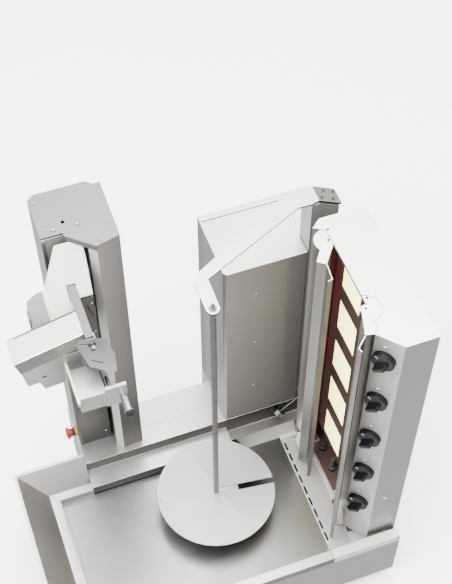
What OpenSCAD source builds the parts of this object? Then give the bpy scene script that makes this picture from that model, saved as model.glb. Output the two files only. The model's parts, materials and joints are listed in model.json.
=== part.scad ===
// Gas doner kebab grill with a cutting head: a base with pans and ledges, a lift tower that carries
// the cutting head, a control housing, an arm over the turning skewer and a sliding burner tower.
// Origin: centre of the base on the floor. X runs right, Y runs back, Z runs up.

/* [Base] */
// Width of the base over its side walls
base_w = 1066; // [1040:1:1120]
// Depth of the base from the front panel to the back wall
base_d = 760; // [740:1:840]
// Height of the upper ledge above the floor
deck_z = 330; // [310:1:420]
// Height of the levelling feet
foot_h = 40; // [30:1:50]
// Radius of a foot's disc
foot_r = 20; // [15:1:28]
// Thickness of the folded sheet
sheet = 2; // [1.5:0.1:2.5]
// Width of the catching wing at the left
catch_w = 224; // [215:1:240]
// Setback of the catching wing's rear wall from the back of the base
catch_setback = 196; // [190:1:205]

/* [Pan, hopper and ledges] */
// Depth of the pan floor below the upper ledge
pan_drop = 86; // [84:1:92]
// Depth of the pan's rim below the upper ledge
rim_drop = 58; // [54:1:62]
// Width of the pan's flat rim
rim_w = 29.5; // [20:0.5:36]
// Height of the hopper's top edge above the upper ledge
hopper_rise = 20; // [10:1:40]
// Run of the left hopper slope
hopper_run = 80.5; // [70:0.5:82]
// Run of the rear hopper slope
hopper_rear_run = 57; // [45:1:58]
// Width of the hem along the hopper's top edge
hem_w = 8; // [6:0.5:9]
// Depth of the upper ledge from front to back
ledge_d = 225; // [220:1:230]
// Drop from the upper to the lower ledge
step_drop = 44; // [40:1:48]
// Depth of the recess in the back wall between the tower and the housing
recess_d = 66; // [56:1:70]
// Depth of the lower ledge
step_d = 63.5; // [60:0.5:66]
// Height of the lip along the housing's ledge
ledge_lip = 22; // [16:1:26]

/* [Fat drawer] */
// Width of the drawer
drawer_w = 420; // [380:1:430]
// Depth of the drawer
drawer_d = 460; // [400:1:470]
// Height of the drawer's front
drawer_h = 94; // [70:1:110]
// Distance of the drawer's centre from the base's left side
drawer_inset = 283; // [277:1:288]
// Gap round the drawer's front
drawer_gap = 2; // [1:0.1:3]
// Length of the finger cut in the drawer's front
grip_w = 110; // [90:1:140]

/* [Skewer and turntable] */
// Skewer axis right of the middle of the base
spit_x = 42.5; // [30:0.5:50]
// Distance of the skewer axis from the upper ledge
spit_set = 227; // [224:1:235]
// Radius of the turntable plate
plate_r = 181.5; // [170:0.5:186]
// Thickness of the turntable plate
plate_t = 3; // [2:0.5:4]
// Side of the square skewer
spit_w = 13.5; // [12:0.5:16]
// Radius of the skewer's top stud
stud_r = 6; // [5:0.1:6.4]
// Radius of the turntable shaft
shaft_r = 20; // [16:0.5:22]
// Radial play of running shafts
run_fit = 0.05; // [0.02:0.01:0.08]
// Side play of the skewer in its square holes
spit_play = 0.3; // [0.2:0.05:0.5]
// Width of the loading slot in the turntable plate
slot_w = 20; // [18:0.5:24]
// Module of the turntable gears
gear_m = 3; // [2.5:0.1:3]
// Teeth of the turntable gear
gear_teeth = 36; // [30:1:40]
// Teeth of the motor pinion
pinion_teeth = 12; // [12:1:14]
// Thickness of the gears
gear_t = 12; // [8:1:14]

/* [Arm, post and housing] */
// Height of the arm's top face above the upper ledge
arm_z = 965; // [940:1:1000]
// Thickness of the arm
arm_t = 6; // [5:0.5:8]
// Slope of the arm's bent flange
arm_slope = 28.5; // [22:0.5:34]
// Radius of the arm's round end
arm_end_r = 18; // [16:0.5:22]
// Distance of the post's left side from the base's right side
post_inset = 134; // [131:1:134]
// Width of the post
post_w = 81; // [76:1:86]
// Depth of the post
post_d = 64; // [58:1:70]
// Distance of the housing's left side from the base's right side
housing_inset = 380; // [375:1:380]
// Width of the housing
housing_w = 335; // [330:1:345]
// Height of the housing
housing_h = 764; // [720:1:800]
// Height of the housing's lowest front screw
screw_low = 163; // [120:1:200]
// Distance between the housing's front screws
screw_pitch = 238; // [200:1:245]

/* [Lift tower] */
// Height of the tower
tower_h = 1030; // [1010:1:1080]
// Thickness of the tower's sheet
tower_t = 2.5; // [2:0.1:3]
// Thickness of the tower's cap
cap_t = 3; // [2:0.5:4]
// Depth of the cap's bent front flange
cap_lip = 20; // [14:1:24]
// Radius of the guide rods
rod_r = 8; // [7:0.5:9]
// Radius of the lead screw
screw_r = 8; // [7:0.5:9]
// Distance of the carriage's lower end below the tower's top
carriage_drop = 330; // [310:1:340]
// Height of the carriage
carriage_h = 200; // [190:1:210]
// Radius of the swing pin
pin_r = 5; // [4:0.5:6]
// Centre height of the emergency button
estop_z = 75; // [65:1:90]
// Radius of the emergency button
estop_r = 20; // [17:0.5:22]
// Travel of the emergency button
estop_travel = 4; // [2:0.5:4.5]

/* [Cutting head] */
// Distance of the beam's top below the tower's top
beam_drop = 99; // [96:1:101]
// Width of the beam's flange
beam_w = 21.6; // [19:0.1:23]
// Thickness of the beam
beam_t = 4; // [3:0.5:5]
// Slope of the hood
hood_slope = 45; // [44:0.5:46]
// Thickness of the hood
hood_t = 3; // [2:0.5:4]
// Slope of the knife and its guard
knife_slope = 37; // [36:0.5:38]
// Radius of the knife
knife_r = 38; // [34:0.5:42]
// Tilt of the motor box
motor_tilt = 14; // [13:0.5:15]
// Width of the motor box
motor_w = 77.2; // [70:0.2:78]
// Height of the motor box's cover
cover_h = 50; // [46:1:52]
// Distance of the scanning tray's top below the tower's top
tray_drop = 205; // [203:1:207]
// Height of the scanning tray
tray_h = 61; // [50:1:70]
// Radius of the sensor
sensor_r = 10; // [8:0.5:11]
// Length of the sensor
sensor_len = 53; // [46:1:60]

/* [Burner tower] */
// Height of the burner casing above the upper ledge
burner_z = 965; // [950:1:990]
// Height of the casing's underside below the upper ledge
burner_drop = 76; // [74:1:77]
// Thickness of the casing's top
burner_top_t = 10; // [9:1:12]
// Number of ceramic tiles, and of knobs
burners = 5; // [4:1:5]
// Distance between two tiles
tile_pitch = 187; // [180:1:188]
// Height of a tile's window
tile_h = 127; // [110:1:130]
// Share of the mouth's width that a tile's window takes
tile_share = 0.512; // [0.45:0.001:0.53]
// Thickness of a tile
tile_t = 12; // [8:1:14]
// Height of the lowest window above the upper ledge
tile_low = 75; // [60:1:80]
// Height of the lowest knob above the upper ledge
knob_low = 128; // [120:1:140]
// Distance between two knobs
knob_pitch = 188.5; // [180:0.5:190]
// Radius of a knob
knob_r = 32; // [28:0.5:33]
// Height of a knob
knob_h = 43; // [38:1:46]
// Radius of a wing's pivot disc
wing_r = 39; // [36:0.5:40]
// Thickness of a wing's sheet
wing_t = 2; // [1.5:0.1:2.5]
// Fall of the drip shelf from its left edge to the well
shelf_fall = 38; // [34:1:40]
// Number of drain slots in the drip shelf
shelf_slots = 9; // [5:1:9]
// Distance between two drain slots
slot_pitch = 42; // [36:1:44]

/* [Clamp lever] */
// Radius of the lever's round knob
lever_knob_r = 17.3; // [14:0.1:17.5]
// Length of the lever's rod
lever_len = 95; // [80:1:105]

/* [Hidden] */
$fn = 48;
seat = 0.3;
eps = 0.01;

// Outer lines of the base
left = -base_w / 2;
right = base_w / 2;
front = -base_d / 2;
back = base_d / 2;
wall_top = deck_z - pan_drop - 4;
floor_z = foot_h + sheet;
pan_z = deck_z - pan_drop;
rim_z = deck_z - rim_drop;
hopper_z = deck_z + hopper_rise;
step_z = deck_z - step_drop;
ledge_x = left + catch_w;
ledge_y = back - ledge_d;
step_y = ledge_y - step_d;
housing_x = right - housing_inset;
step_end = housing_x + 5;
slope_x = left + hem_w + hopper_run;
pan_x = slope_x + rim_w;
catch_back = back - catch_setback;
recess_y = back - recess_d;
recess_x = ledge_x + 197;
slope_y = catch_back - hem_w - 1 - hopper_rear_run;
pan_front = front + 29;

// Burner bay: the drip shelf and the well at the right
shelf_x = right - 217.5;
shelf_w = 82.5;
shelf_z = deck_z - 80;
well_x = shelf_x + shelf_w;
well_z = shelf_z - shelf_fall;
gutter_y = ledge_y - 51;
bay_back = gutter_y - 32;
gutter_z = deck_z - 80;
gutter_back = ledge_y + 6;
bar_foot_y = gutter_y - 23;
bar_left_top = step_end + 10;
bar_left_foot = step_end + 46;
bar_right = well_x - 25;

// Fat drawer
drawer_z = foot_h + 10;
runner_h = drawer_z + 2 - seat - floor_z;
drawer_x = left + drawer_inset;
drain = [drawer_x, front + 80];

// Turntable drive
bearing_r = shaft_r + 15;
bearing_top = pan_z + 12;
gear_z = deck_z - 150;
bearing_low = gear_z + gear_t + seat;
mesh_distance = gear_m * (gear_teeth + pinion_teeth) / 2;
spit_y = ledge_y - spit_set;
motor_axis = [spit_x + mesh_distance, spit_y];
pinion_shaft_r = 6;
plate_z = deck_z - plate_t;
hub_t = 17;
hub_z = plate_z - hub_t;
socket_z = plate_z - 13;

// Arm and post
arm_top = deck_z + arm_z;
arm_low = arm_top - arm_t;
post_x = right - post_inset;
bend_x = post_x + 23;
flange_len = 77;
flange_w = 54;
flange_y = ledge_y + 6;
flange_end = [bend_x, arm_top] + flange_len * [cos(arm_slope), -sin(arm_slope)];
bush_r = 9.95;
post_top = arm_low;

// Tower
tower_x = ledge_x + 3;
tower_top = deck_z + tower_h;
column_top = tower_top - cap_t;
lip_y = back - 156;
rod_y = back - 80;
rod_x = [tower_x + 36, tower_x + 91];
screw_x = tower_x + 63.5;
slot_left = tower_x + 101.5;
return_x = tower_x + 111;
estop_y = back - 143;

// Cutting head: the swing pin stands in front of the tower's slot
swing = [tower_x + 97, back - 175];
carriage_low = tower_top - carriage_drop;
carriage_top = carriage_low + carriage_h;
lug_r = pin_r + 3;
lug_h = 30;
hood_y = swing[1] + 12;
hood_z = tower_top - 22;
beam_top = tower_top - beam_drop;
beam_x = tower_x + 32.9;
beam_front = swing[1] - 231.2;
frame_front = swing[1] - 90;
frame_back = swing[1] - 4;
motor_y = swing[1] - 218.6;
motor_left = tower_x - 150.2;
rail_x = tower_x - 30;
rail_w = 10;
rail_h = 14;
tray_top = tower_top - tray_drop;
tray_low = tray_top - tray_h;
tray_front = swing[1] - 332;
tray_rear = swing[1] - 238;
knife_at = [tower_x + 49, 50];
head_box_y = motor_y + 0.6;
front_plate_top = tower_top - 135;

// Burner tower
case_low = deck_z - burner_drop;
case_top = deck_z + burner_z;
hinge_z = case_top - 3.5;
slot_z = case_top - 7;
wing_pin_r = 4.5;
roof_z = case_top - burner_top_t;
pivot_rear = [right - 139, gutter_y - 72];
pivot_front = [right - 138, front + 179];
mouth_x = right - 132;
mouth_front = front + 192;
mouth_back = gutter_y - 81;
frame_x = mouth_x + 18;
tile_y = (mouth_front + mouth_back) / 2 + 6.5;
tile_w = tile_share * (mouth_back - mouth_front);
panel_a = [right - 148, front + 101];
panel_b = [right - 94, front + 41];
panel_mid = (panel_a + panel_b) / 2;
panel_turn = atan2(panel_b[1] - panel_a[1], panel_b[0] - panel_a[0]);
manifold = [right - 80.3, front + 108];
igniter_z = 68;
knob_shift = -6;
knob_skirt = 15;

// Clamp lever on the post
lever_at = [post_x + 6, ledge_y - 18, deck_z + 43];
lever_turn = 41.7;

// Folded sheet: a band of thickness t to the left of a path
function unit(v) = v / norm(v);
function left_of(v) = [-v[1], v[0]];
function normal_in(p, i) = left_of(unit(p[max(i, 1)] - p[max(i, 1) - 1]));
function normal_out(p, i) = left_of(unit(p[min(i, len(p) - 2) + 1] - p[min(i, len(p) - 2)]));
function mitre(p, i, t) =
    let (a = normal_in(p, i), b = normal_out(p, i), m = unit(a + b))
    p[i] + m * t / (m * a);
function band(p, t) = concat(p, [for (i = [len(p) - 1:-1:0]) mitre(p, i, t)]);

module fold(path, t, h) {
    linear_extrude(height = h) polygon(band(path, t));
}

// Extrusion along X of a profile whose points are [y, z]
module along_x(x0, x1) {
    translate([x0, 0, 0]) rotate([90, 0, 90]) linear_extrude(height = x1 - x0) children();
}

// Extrusion along Y of a profile whose points are [x, z]
module along_y(y0, y1) {
    translate([0, y1, 0]) rotate([90, 0, 0]) linear_extrude(height = y1 - y0) children();
}

module block(p0, p1) {
    translate(p0) cube(p1 - p0);
}

module rod(p, r, h) {
    translate(p) cylinder(r = r, h = h);
}

// Plan of the base, drawn in by d
function base_plan(d, f) = [
    [left + d, front + f], [right - d, front + f], [right - d, back - d],
    [housing_x + d, back - d], [housing_x + d, recess_y - d],
    [recess_x - d, recess_y - d], [recess_x - d, back - d], [ledge_x + d, back - d],
    [ledge_x + d, catch_back - d], [left + d, catch_back - d]];

module base_shell() color("gainsboro") {
    difference() {
        translate([0, 0, foot_h]) linear_extrude(height = wall_top - foot_h) polygon(base_plan(0, 0));
        translate([0, 0, floor_z]) linear_extrude(height = wall_top) polygon(base_plan(sheet, -1));
    }
    for (x = [drawer_x - drawer_w / 2 + 5, drawer_x + drawer_w / 2 - 25])
        block([x, front + 4, floor_z - eps], [x + 20, front + drawer_d + 10, floor_z + runner_h]);
}

module base_front() color("gainsboro") difference() {
    block([left + sheet, front, floor_z], [right - sheet, front + sheet, wall_top]);
    block([drawer_x - drawer_w / 2 - drawer_gap, front - 1, drawer_z - drawer_gap],
        [drawer_x + drawer_w / 2 + drawer_gap, front + sheet + 1, drawer_z + drawer_h + drawer_gap]);
}

module feet() color("dimgray") {
    for (p = [[left + 50, front + 50], [right - 50, front + 50], [right - 50, back - 50],
        [ledge_x + 50, back - 50], [left + 50, catch_back - 50]]) {
        rod([p[0], p[1], 0], foot_r, 12);
        rod([p[0], p[1], 11], 8, foot_h - 11);
    }
}

module pan() color("silver") difference() {
    union() {
        block([slope_x, front, rim_z - sheet], [shelf_x, slope_y, rim_z]);
        block([pan_x - sheet, pan_front - sheet, pan_z - sheet], [shelf_x, step_y + sheet, rim_z - 1]);
        block([step_end, step_y, pan_z - sheet], [shelf_x, gutter_y, rim_z - 1]);
        block([slope_x, front, wall_top], [shelf_x, front + sheet, rim_z]);
        rod([drain[0], drain[1], drawer_z + drawer_h + 3], 18 + sheet, pan_z - drawer_z - drawer_h - 4);
    }
    block([pan_x, pan_front, pan_z], [shelf_x + 1, step_y, deck_z]);
    block([ledge_x, step_y - 1, wall_top - 9], [step_end, slope_y + 1, deck_z]);
    block([step_end - 1, step_y - 1, pan_z], [shelf_x + 1, gutter_y + 1, deck_z]);
    block([step_end - 1, gutter_y, rim_z - 9], [shelf_x + 1, slope_y + 1, deck_z]);
    rod([spit_x, spit_y, wall_top - 9], bearing_r + 0.2, 50);
    rod([drain[0], drain[1], 0], 18, deck_z);
}

// Space above the two hopper slopes, drawn out by d below them
module hopper_space(d) {
    intersection() {
        along_y(front - 9, back) polygon([
            [left + hem_w - d * 1.4, hopper_z], [slope_x - d * 0.6, rim_z - d],
            [ledge_x + 99, rim_z - d], [ledge_x + 99, hopper_z + 50],
            [left + hem_w - d * 1.4, hopper_z + 50]]);
        along_x(left - 9, ledge_x + 98) polygon([
            [front - 9, rim_z - d], [slope_y + d * 0.6, rim_z - d],
            [catch_back - hem_w - 1 + d * 1.4, hopper_z],
            [catch_back - hem_w - 1 + d * 1.4, hopper_z + 50], [front - 9, hopper_z + 50]]);
    }
}

module hopper() color("silver") {
    difference() {
        intersection() {
            hopper_space(sheet);
            block([left, front, rim_z - sheet], [ledge_x, catch_back, hopper_z]);
        }
        hopper_space(0);
        block([slope_x, front - 1, rim_z - 9], [ledge_x + 1, slope_y, hopper_z]);
    }
    difference() {
        block([left, front, wall_top], [ledge_x, catch_back, hopper_z]);
        block([left + sheet, front + sheet, wall_top - 1],
            [ledge_x - sheet, catch_back - sheet, hopper_z - sheet]);
        block([slope_x, front - 1, wall_top - 1], [ledge_x + 1, slope_y, hopper_z + 1]);
        hopper_space(0);
        hopper_space(sheet - eps);
    }
}

// Folded profile of the two ledges, from the back to the pan
step_path = [
    [back, deck_z], [ledge_y, deck_z], [ledge_y, step_z], [step_y, step_z], [step_y, pan_z - sheet]];

module ledges() color("gainsboro") {
    difference() {
        union() {
            along_x(ledge_x, step_end) polygon(band(step_path, sheet));
            for (x = [ledge_x, step_end - sheet])
                along_x(x, x + sheet) polygon(concat(step_path, [[step_y, wall_top], [back, wall_top]]));
            block([step_end - 1, ledge_y, deck_z - sheet], [right, back, deck_z]);
            block([step_end - 1, ledge_y, deck_z - ledge_lip], [right, ledge_y + sheet, deck_z]);
            block([ledge_x, back - sheet, wall_top], [right, back, deck_z]);
            block([right - sheet, ledge_y, wall_top], [right, back, deck_z]);
        }
        rod([screw_x, rod_y, deck_z - 9], screw_r + 2, 20);
        block([recess_x, recess_y, wall_top - 1], [housing_x, back + 1, deck_z + 1]);
    }
    for (x = [recess_x - sheet, housing_x])
        block([x, recess_y - sheet, wall_top], [x + sheet, back, deck_z]);
    block([recess_x - sheet, recess_y - sheet, wall_top], [housing_x + sheet, recess_y, deck_z]);
}

module splash_bar() color("gainsboro") {
    block([step_end, gutter_y, gutter_z - sheet], [right - sheet, gutter_back, gutter_z]);
    block([step_end, gutter_back - sheet, gutter_z - 1], [right - sheet, gutter_back, deck_z - sheet]);
    block([step_end, gutter_y, gutter_z - sheet], [right - sheet, gutter_y + sheet, step_z]);
    difference() {
        along_x(step_end, bar_right) polygon([[gutter_y + 1, step_z], [bar_foot_y, pan_z],
            [bar_foot_y + sheet + 1, pan_z], [gutter_y + 1, step_z - 5]]);
        translate([0, gutter_y + 9, 0]) rotate([90, 0, 0]) linear_extrude(height = 60)
            polygon([[step_end - 1, step_z + 1], [bar_left_top, step_z + 1],
                [bar_left_foot, pan_z - 1], [step_end - 1, pan_z - 1]]);
        block([step_end - 1, gutter_y + sheet, pan_z], [right, back, deck_z]);
        block([shelf_x, bar_foot_y - 9, pan_z - 1], [bar_right + 1, gutter_y + sheet, shelf_z]);
    }
}

module burner_bay() color("silver") {
    difference() {
        along_y(pan_front, bay_back) polygon([[shelf_x, shelf_z], [well_x, well_z],
            [right - sheet, well_z], [right - sheet, well_z - sheet],
            [well_x - 1, well_z - sheet], [shelf_x, shelf_z - sheet]]);
        for (i = [0:shelf_slots - 1])
            block([shelf_x + 5, bay_back - 44 - i * slot_pitch, well_z - 9],
                [shelf_x + 12, bay_back - 14 - i * slot_pitch, shelf_z + 9]);
    }
    block([shelf_x, pan_front, pan_z - sheet], [shelf_x + sheet, bay_back, shelf_z - 0.5]);
    for (y = [pan_front - sheet, bay_back])
        along_y(y, y + sheet) polygon([[shelf_x, shelf_z], [shelf_x, shelf_z - sheet - 6],
            [well_x - 1, well_z - sheet], [right - sheet, well_z - sheet], [right - sheet, shelf_z]]);
    block([shelf_x, bay_back, shelf_z - sheet], [right - sheet, gutter_y, shelf_z]);
    block([shelf_x, front, rim_z - sheet], [right, pan_front, rim_z]);
    block([shelf_x, front, wall_top], [right, front + sheet, rim_z]);
    block([shelf_x, pan_front - sheet, shelf_z - sheet], [right - sheet, pan_front, rim_z]);
    block([right - sheet, front, wall_top], [right, ledge_y, case_low - 4]);
}

module burner_rails() color("dimgray") {
    for (y = [front + 90, gutter_y - 69])
        block([well_x + 2, y, well_z], [right - 8, y + 20, case_low - seat]);
}

// Plan of the tower's folded wall, and of its cap
function column_path() = [
    [tower_x + 9, lip_y], [tower_x, lip_y], [tower_x, back - 15], [tower_x + 19, back - 1],
    [tower_x + 157, back - 1], [tower_x + 173, back - 16], [tower_x + 193, back - 16],
    [tower_x + 191, lip_y - 45], [tower_x + 128, lip_y - 53], [tower_x + 110, lip_y - 32],
    [return_x, lip_y - 2]];

module tower_column() color("silver") difference() {
    translate([0, 0, deck_z]) linear_extrude(height = column_top - deck_z)
        polygon(band([for (i = [len(column_path()) - 1:-1:0]) column_path()[i]], tower_t));
    translate([tower_x - 9, estop_y, deck_z + estop_z]) rotate([0, 90, 0]) cylinder(r = 12, h = 20);
}

module tower_panel() color("gray") {
    block([tower_x + tower_t, lip_y + tower_t, deck_z],
        [slot_left, lip_y + tower_t + sheet, column_top]);
}

module tower_cap() color("gainsboro") {
    difference() {
        translate([0, 0, column_top]) linear_extrude(height = cap_t) polygon([
            [tower_x - 0.5, back - 14.7], [tower_x + 18.8, back - 0.5], [tower_x + 157.2, back - 0.5],
            [tower_x + 173.2, back - 15.5], [tower_x + 193.5, back - 15.5], [tower_x + 191.5, lip_y - 46],
            [tower_x + 126, lip_y - 62], [tower_x + 59, lip_y - 3], [tower_x + 59, lip_y + 7],
            [tower_x - 0.5, lip_y + 7]]);
        rod([tower_x + 67, lip_y + 42, column_top - 1], 5, 9);
    }
    translate([0, 0, tower_top - cap_lip])
        fold([[tower_x + 59, lip_y - 3], [tower_x + 126, lip_y - 62]], 1.5, cap_lip - 1);
    difference() {
        rod([screw_x, rod_y, column_top - cap_lip], screw_r + 8, cap_lip + 1);
        rod([screw_x, rod_y, column_top - cap_lip - 1], screw_r + run_fit, cap_lip + 1);
    }
}

// Small screw heads on the cap, the housing's front and the arm's flange
module cover_screws() color("dimgray") {
    for (p = [[15, 29], [36, 15], [136, 15], [181, 50], [181, 139], [143, 201], [15, 124]])
        rod([tower_x + p[0], back - p[1], tower_top], 3.5, 1.5);
    for (x = [39, 100]) rod([tower_x + x, lip_y + 25, tower_top], 6, 3);
    for (i = [0:2])
        translate([housing_x + 96.5, ledge_y + 1, deck_z + screw_low + i * screw_pitch])
            rotate([90, 0, 0]) cylinder(r = 3.5, h = 1.5);
    translate([bend_x, flange_y, arm_top]) rotate([0, arm_slope, 0])
        for (p = [[14, 13], [33, 41], [52, 13], [66, 41]]) rod([p[0], p[1], 0], 4, 2);
}

module guide_rails() color("lightgray") {
    for (x = rod_x) rod([x, rod_y, deck_z], rod_r, column_top - deck_z);
}

module lift_motor() color("dimgray") difference() {
    union() {
        block([screw_x - 30, rod_y - 30, deck_z - sheet - 70], [screw_x + 30, rod_y + 30, deck_z - sheet]);
        rod([screw_x, rod_y, deck_z - sheet - 110], 26, 60);
    }
    rod([screw_x, rod_y, deck_z - 62], screw_r + run_fit, 70);
}

housing_front = ledge_y + 1;
post_right = post_x + post_w;
post_back = ledge_y + post_d;
housing_right = housing_x + housing_w;
housing_plan = [
    [housing_x, back - 1], [housing_x, housing_front + 11], [housing_x + 8, housing_front],
    [post_x - 1, housing_front], [post_x - 1, post_back + 1], [housing_right, post_back + 1],
    [housing_right, back - 1]];

module housing() color("silver") difference() {
    translate([0, 0, deck_z]) linear_extrude(height = housing_h) polygon(housing_plan);
    translate([0, 0, deck_z - 1]) linear_extrude(height = housing_h + 1 - sheet)
        polygon([
            [housing_x + sheet, back - 1 - sheet], [housing_x + sheet, housing_front + 12],
            [housing_x + 9, housing_front + sheet], [post_x - 1 - sheet, housing_front + sheet],
            [post_x - 1 - sheet, post_back + 1 + sheet], [housing_right - sheet, post_back + 1 + sheet],
            [housing_right - sheet, back - 1 - sheet]]);
    block([housing_x + 8, back - 24, deck_z + housing_h - 1],
        [post_x - 9, back - 22, deck_z + housing_h + 1]);
}

module control_unit() color("darkgray") {
    block([housing_x + 50, housing_front + 60, deck_z], [housing_x + 210, back - 30, deck_z + 420]);
}

module post() color("silver") difference() {
    union() {
        difference() {
            block([post_x, ledge_y, deck_z], [post_right, post_back, post_top]);
            block([post_x + 3, ledge_y + 5, deck_z - 1], [post_right - 3, post_back - 3, post_top - 60]);
            block([post_x + 27, ledge_y - 1, deck_z + 90], [post_right + 1, ledge_y + 2, post_top + 1]);
        }
        translate([lever_at[0], ledge_y + 1, lever_at[2]]) rotate([90, 0, 0])
            cylinder(r = 4, h = ledge_y + 1 - lever_at[1] + 12);
    }
    translate([bend_x, ledge_y - 9, arm_top]) rotate([0, arm_slope, 0])
        translate([-20, 0, -arm_t]) cube([140, post_d + 20, 60]);
}

// Flat arm from the post to the skewer, with its bent flange on the post's sloping top
module arm() color("silver") difference() {
    union() {
        translate([0, 0, arm_low]) linear_extrude(height = arm_t) union() {
            translate([spit_x, spit_y]) circle(r = arm_end_r);
            polygon([
                [spit_x + arm_end_r, spit_y], [spit_x + 19.5, spit_y + 89], [post_x - 39, ledge_y + 1.5],
                [post_x, ledge_y + 0.5], [bend_x - 5, flange_y], [bend_x - 5, flange_y + flange_w],
                [post_x - 3, post_back], [post_x - 78, ledge_y + 44], [spit_x + 67.5, spit_y + 153],
                [spit_x + 3.5, spit_y + 118], [spit_x - 19, spit_y + 89.6], [spit_x - arm_end_r, spit_y]]);
        }
        along_y(flange_y, flange_y + flange_w) polygon([
            [bend_x - 6, arm_top], [bend_x, arm_top], flange_end,
            flange_end - arm_t * [sin(arm_slope), cos(arm_slope)],
            [bend_x - arm_t * tan(arm_slope / 2), arm_low], [bend_x - 6, arm_low]]);
    }
    rod([spit_x, spit_y, arm_low - 1], bush_r + 0.05, arm_t + 2);
}

module arm_bush() color("goldenrod") difference() {
    union() {
        rod([spit_x, spit_y, arm_low - 4], 14, 4);
        rod([spit_x, spit_y, arm_low - 1], bush_r, arm_t + 1);
    }
    rod([spit_x, spit_y, arm_low - 5], stud_r + run_fit, arm_t + 9);
}

module on_tower_side(h) {
    translate([tower_x, estop_y, deck_z + estop_z]) rotate([0, -90, 0]) translate([0, 0, h]) children();
}

module estop_collar() color("gold") on_tower_side(0) difference() {
    cylinder(r = 16, h = 9);
    translate([0, 0, -1]) cylinder(r = 11, h = 11);
}

module estop_button() color("crimson") {
    on_tower_side(2) cylinder(r = 11 - run_fit, h = 17);
    on_tower_side(14 + estop_travel) cylinder(r = 14, h = 10);
    on_tower_side(23 + estop_travel) cylinder(r = estop_r, h = 10);
}

module turntable_bearing() color("darkgray") difference() {
    union() {
        rod([spit_x, spit_y, bearing_low], bearing_r, bearing_top - bearing_low);
        rod([spit_x, spit_y, pan_z - sheet - 6], bearing_r + 18, 6);
    }
    rod([spit_x, spit_y, bearing_low - 1], shaft_r + run_fit, 90);
}

module turntable_motor() color("dimgray") difference() {
    union() {
        rod([motor_axis[0], motor_axis[1], floor_z], 38, gear_z - 30 - floor_z);
        block([motor_axis[0] - 45, motor_axis[1] - 45, gear_z - 36],
            [motor_axis[0] + 45, motor_axis[1] + 45, gear_z - 12]);
    }
    rod([motor_axis[0], motor_axis[1], gear_z - 40], pinion_shaft_r + run_fit, 60);
}

module fat_drawer() color("silver") {
    difference() {
        block([drawer_x - drawer_w / 2 + 2, front + 1, drawer_z + 2],
            [drawer_x + drawer_w / 2 - 2, front + drawer_d, drawer_z + drawer_h - 6]);
        block([drawer_x - drawer_w / 2 + 2 + sheet, front + sheet, drawer_z + 2 + sheet],
            [drawer_x + drawer_w / 2 - 2 - sheet, front + drawer_d - sheet, drawer_z + drawer_h]);
        block([drawer_x - grip_w / 2, front - 1, drawer_z + drawer_h - 26],
            [drawer_x + grip_w / 2, front + 9, drawer_z + drawer_h]);
    }
    difference() {
        block([drawer_x - drawer_w / 2, front, drawer_z],
            [drawer_x + drawer_w / 2, front + sheet, drawer_z + drawer_h]);
        block([drawer_x - grip_w / 2, front - 1, drawer_z + drawer_h - 26],
            [drawer_x + grip_w / 2, front + 9, drawer_z + drawer_h + 1]);
    }
}

module turntable_plate() color("gainsboro") difference() {
    rod([spit_x, spit_y, plate_z], plate_r, plate_t);
    translate([spit_x, spit_y, plate_z - 1]) {
        translate([-spit_w / 2 - spit_play, -spit_w / 2 - spit_play, 0])
            cube([spit_w + 2 * spit_play, spit_w + 2 * spit_play, plate_t + 2]);
        rotate([0, 0, -7.3]) translate([14, -slot_w / 2, 0]) cube([plate_r, slot_w, plate_t + 2]);
        translate([-168.5, 26, 0]) cylinder(r = 3, h = plate_t + 2);
    }
}

module turntable_hub() color("darkgray") difference() {
    union() {
        rod([spit_x, spit_y, gear_z], shaft_r, hub_z - gear_z + 1);
        rod([spit_x, spit_y, bearing_top + seat], shaft_r + 10, hub_z - bearing_top);
        rod([spit_x, spit_y, hub_z], 70, hub_t);
    }
    translate([spit_x - spit_w / 2 - spit_play, spit_y - spit_w / 2 - spit_play, socket_z])
        cube([spit_w + 2 * spit_play, spit_w + 2 * spit_play, 30]);
}

// Outline of a spur gear with straight flanks and some backlash
function gear_points(teeth, m) = [
    for (i = [0:teeth - 1]) for (c = [[-0.29, -1.2], [-0.11, 0.8], [0.11, 0.8], [0.29, -1.2]])
        let (r = m * teeth / 2 + c[1] * m, a = (i + c[0]) * 360 / teeth) r * [cos(a), sin(a)]];

module drive_gear() color("slategray") difference() {
    translate([spit_x, spit_y, gear_z]) linear_extrude(height = gear_t)
        polygon(gear_points(gear_teeth, gear_m));
    rod([spit_x, spit_y, gear_z - 1], shaft_r + 0.02, gear_t + 2);
}

module motor_pinion() color("goldenrod") {
    translate([motor_axis[0], motor_axis[1], gear_z]) rotate([0, 0, 180 + 180 / pinion_teeth])
        linear_extrude(height = gear_t) polygon(gear_points(pinion_teeth, gear_m));
    rod([motor_axis[0], motor_axis[1], gear_z - 38], pinion_shaft_r, 39);
}

module skewer() color("lightgray") {
    difference() {
        translate([spit_x - spit_w / 2, spit_y - spit_w / 2, socket_z])
            cube([spit_w, spit_w, arm_low - 4 - seat - socket_z]);
        block([spit_x + 2, spit_y - spit_w, deck_z + 20],
            [spit_x + 4.5, spit_y - spit_w / 2 + 2, arm_low - 30]);
    }
    rod([spit_x, spit_y, arm_low - 8], stud_r, arm_t + 16);
    rod([spit_x, spit_y, arm_top + seat], stud_r + 3, 5);
}

module lead_screw() color("gray") {
    rod([screw_x, rod_y, deck_z - 60], screw_r, column_top - 8 - deck_z + 60);
}

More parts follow.
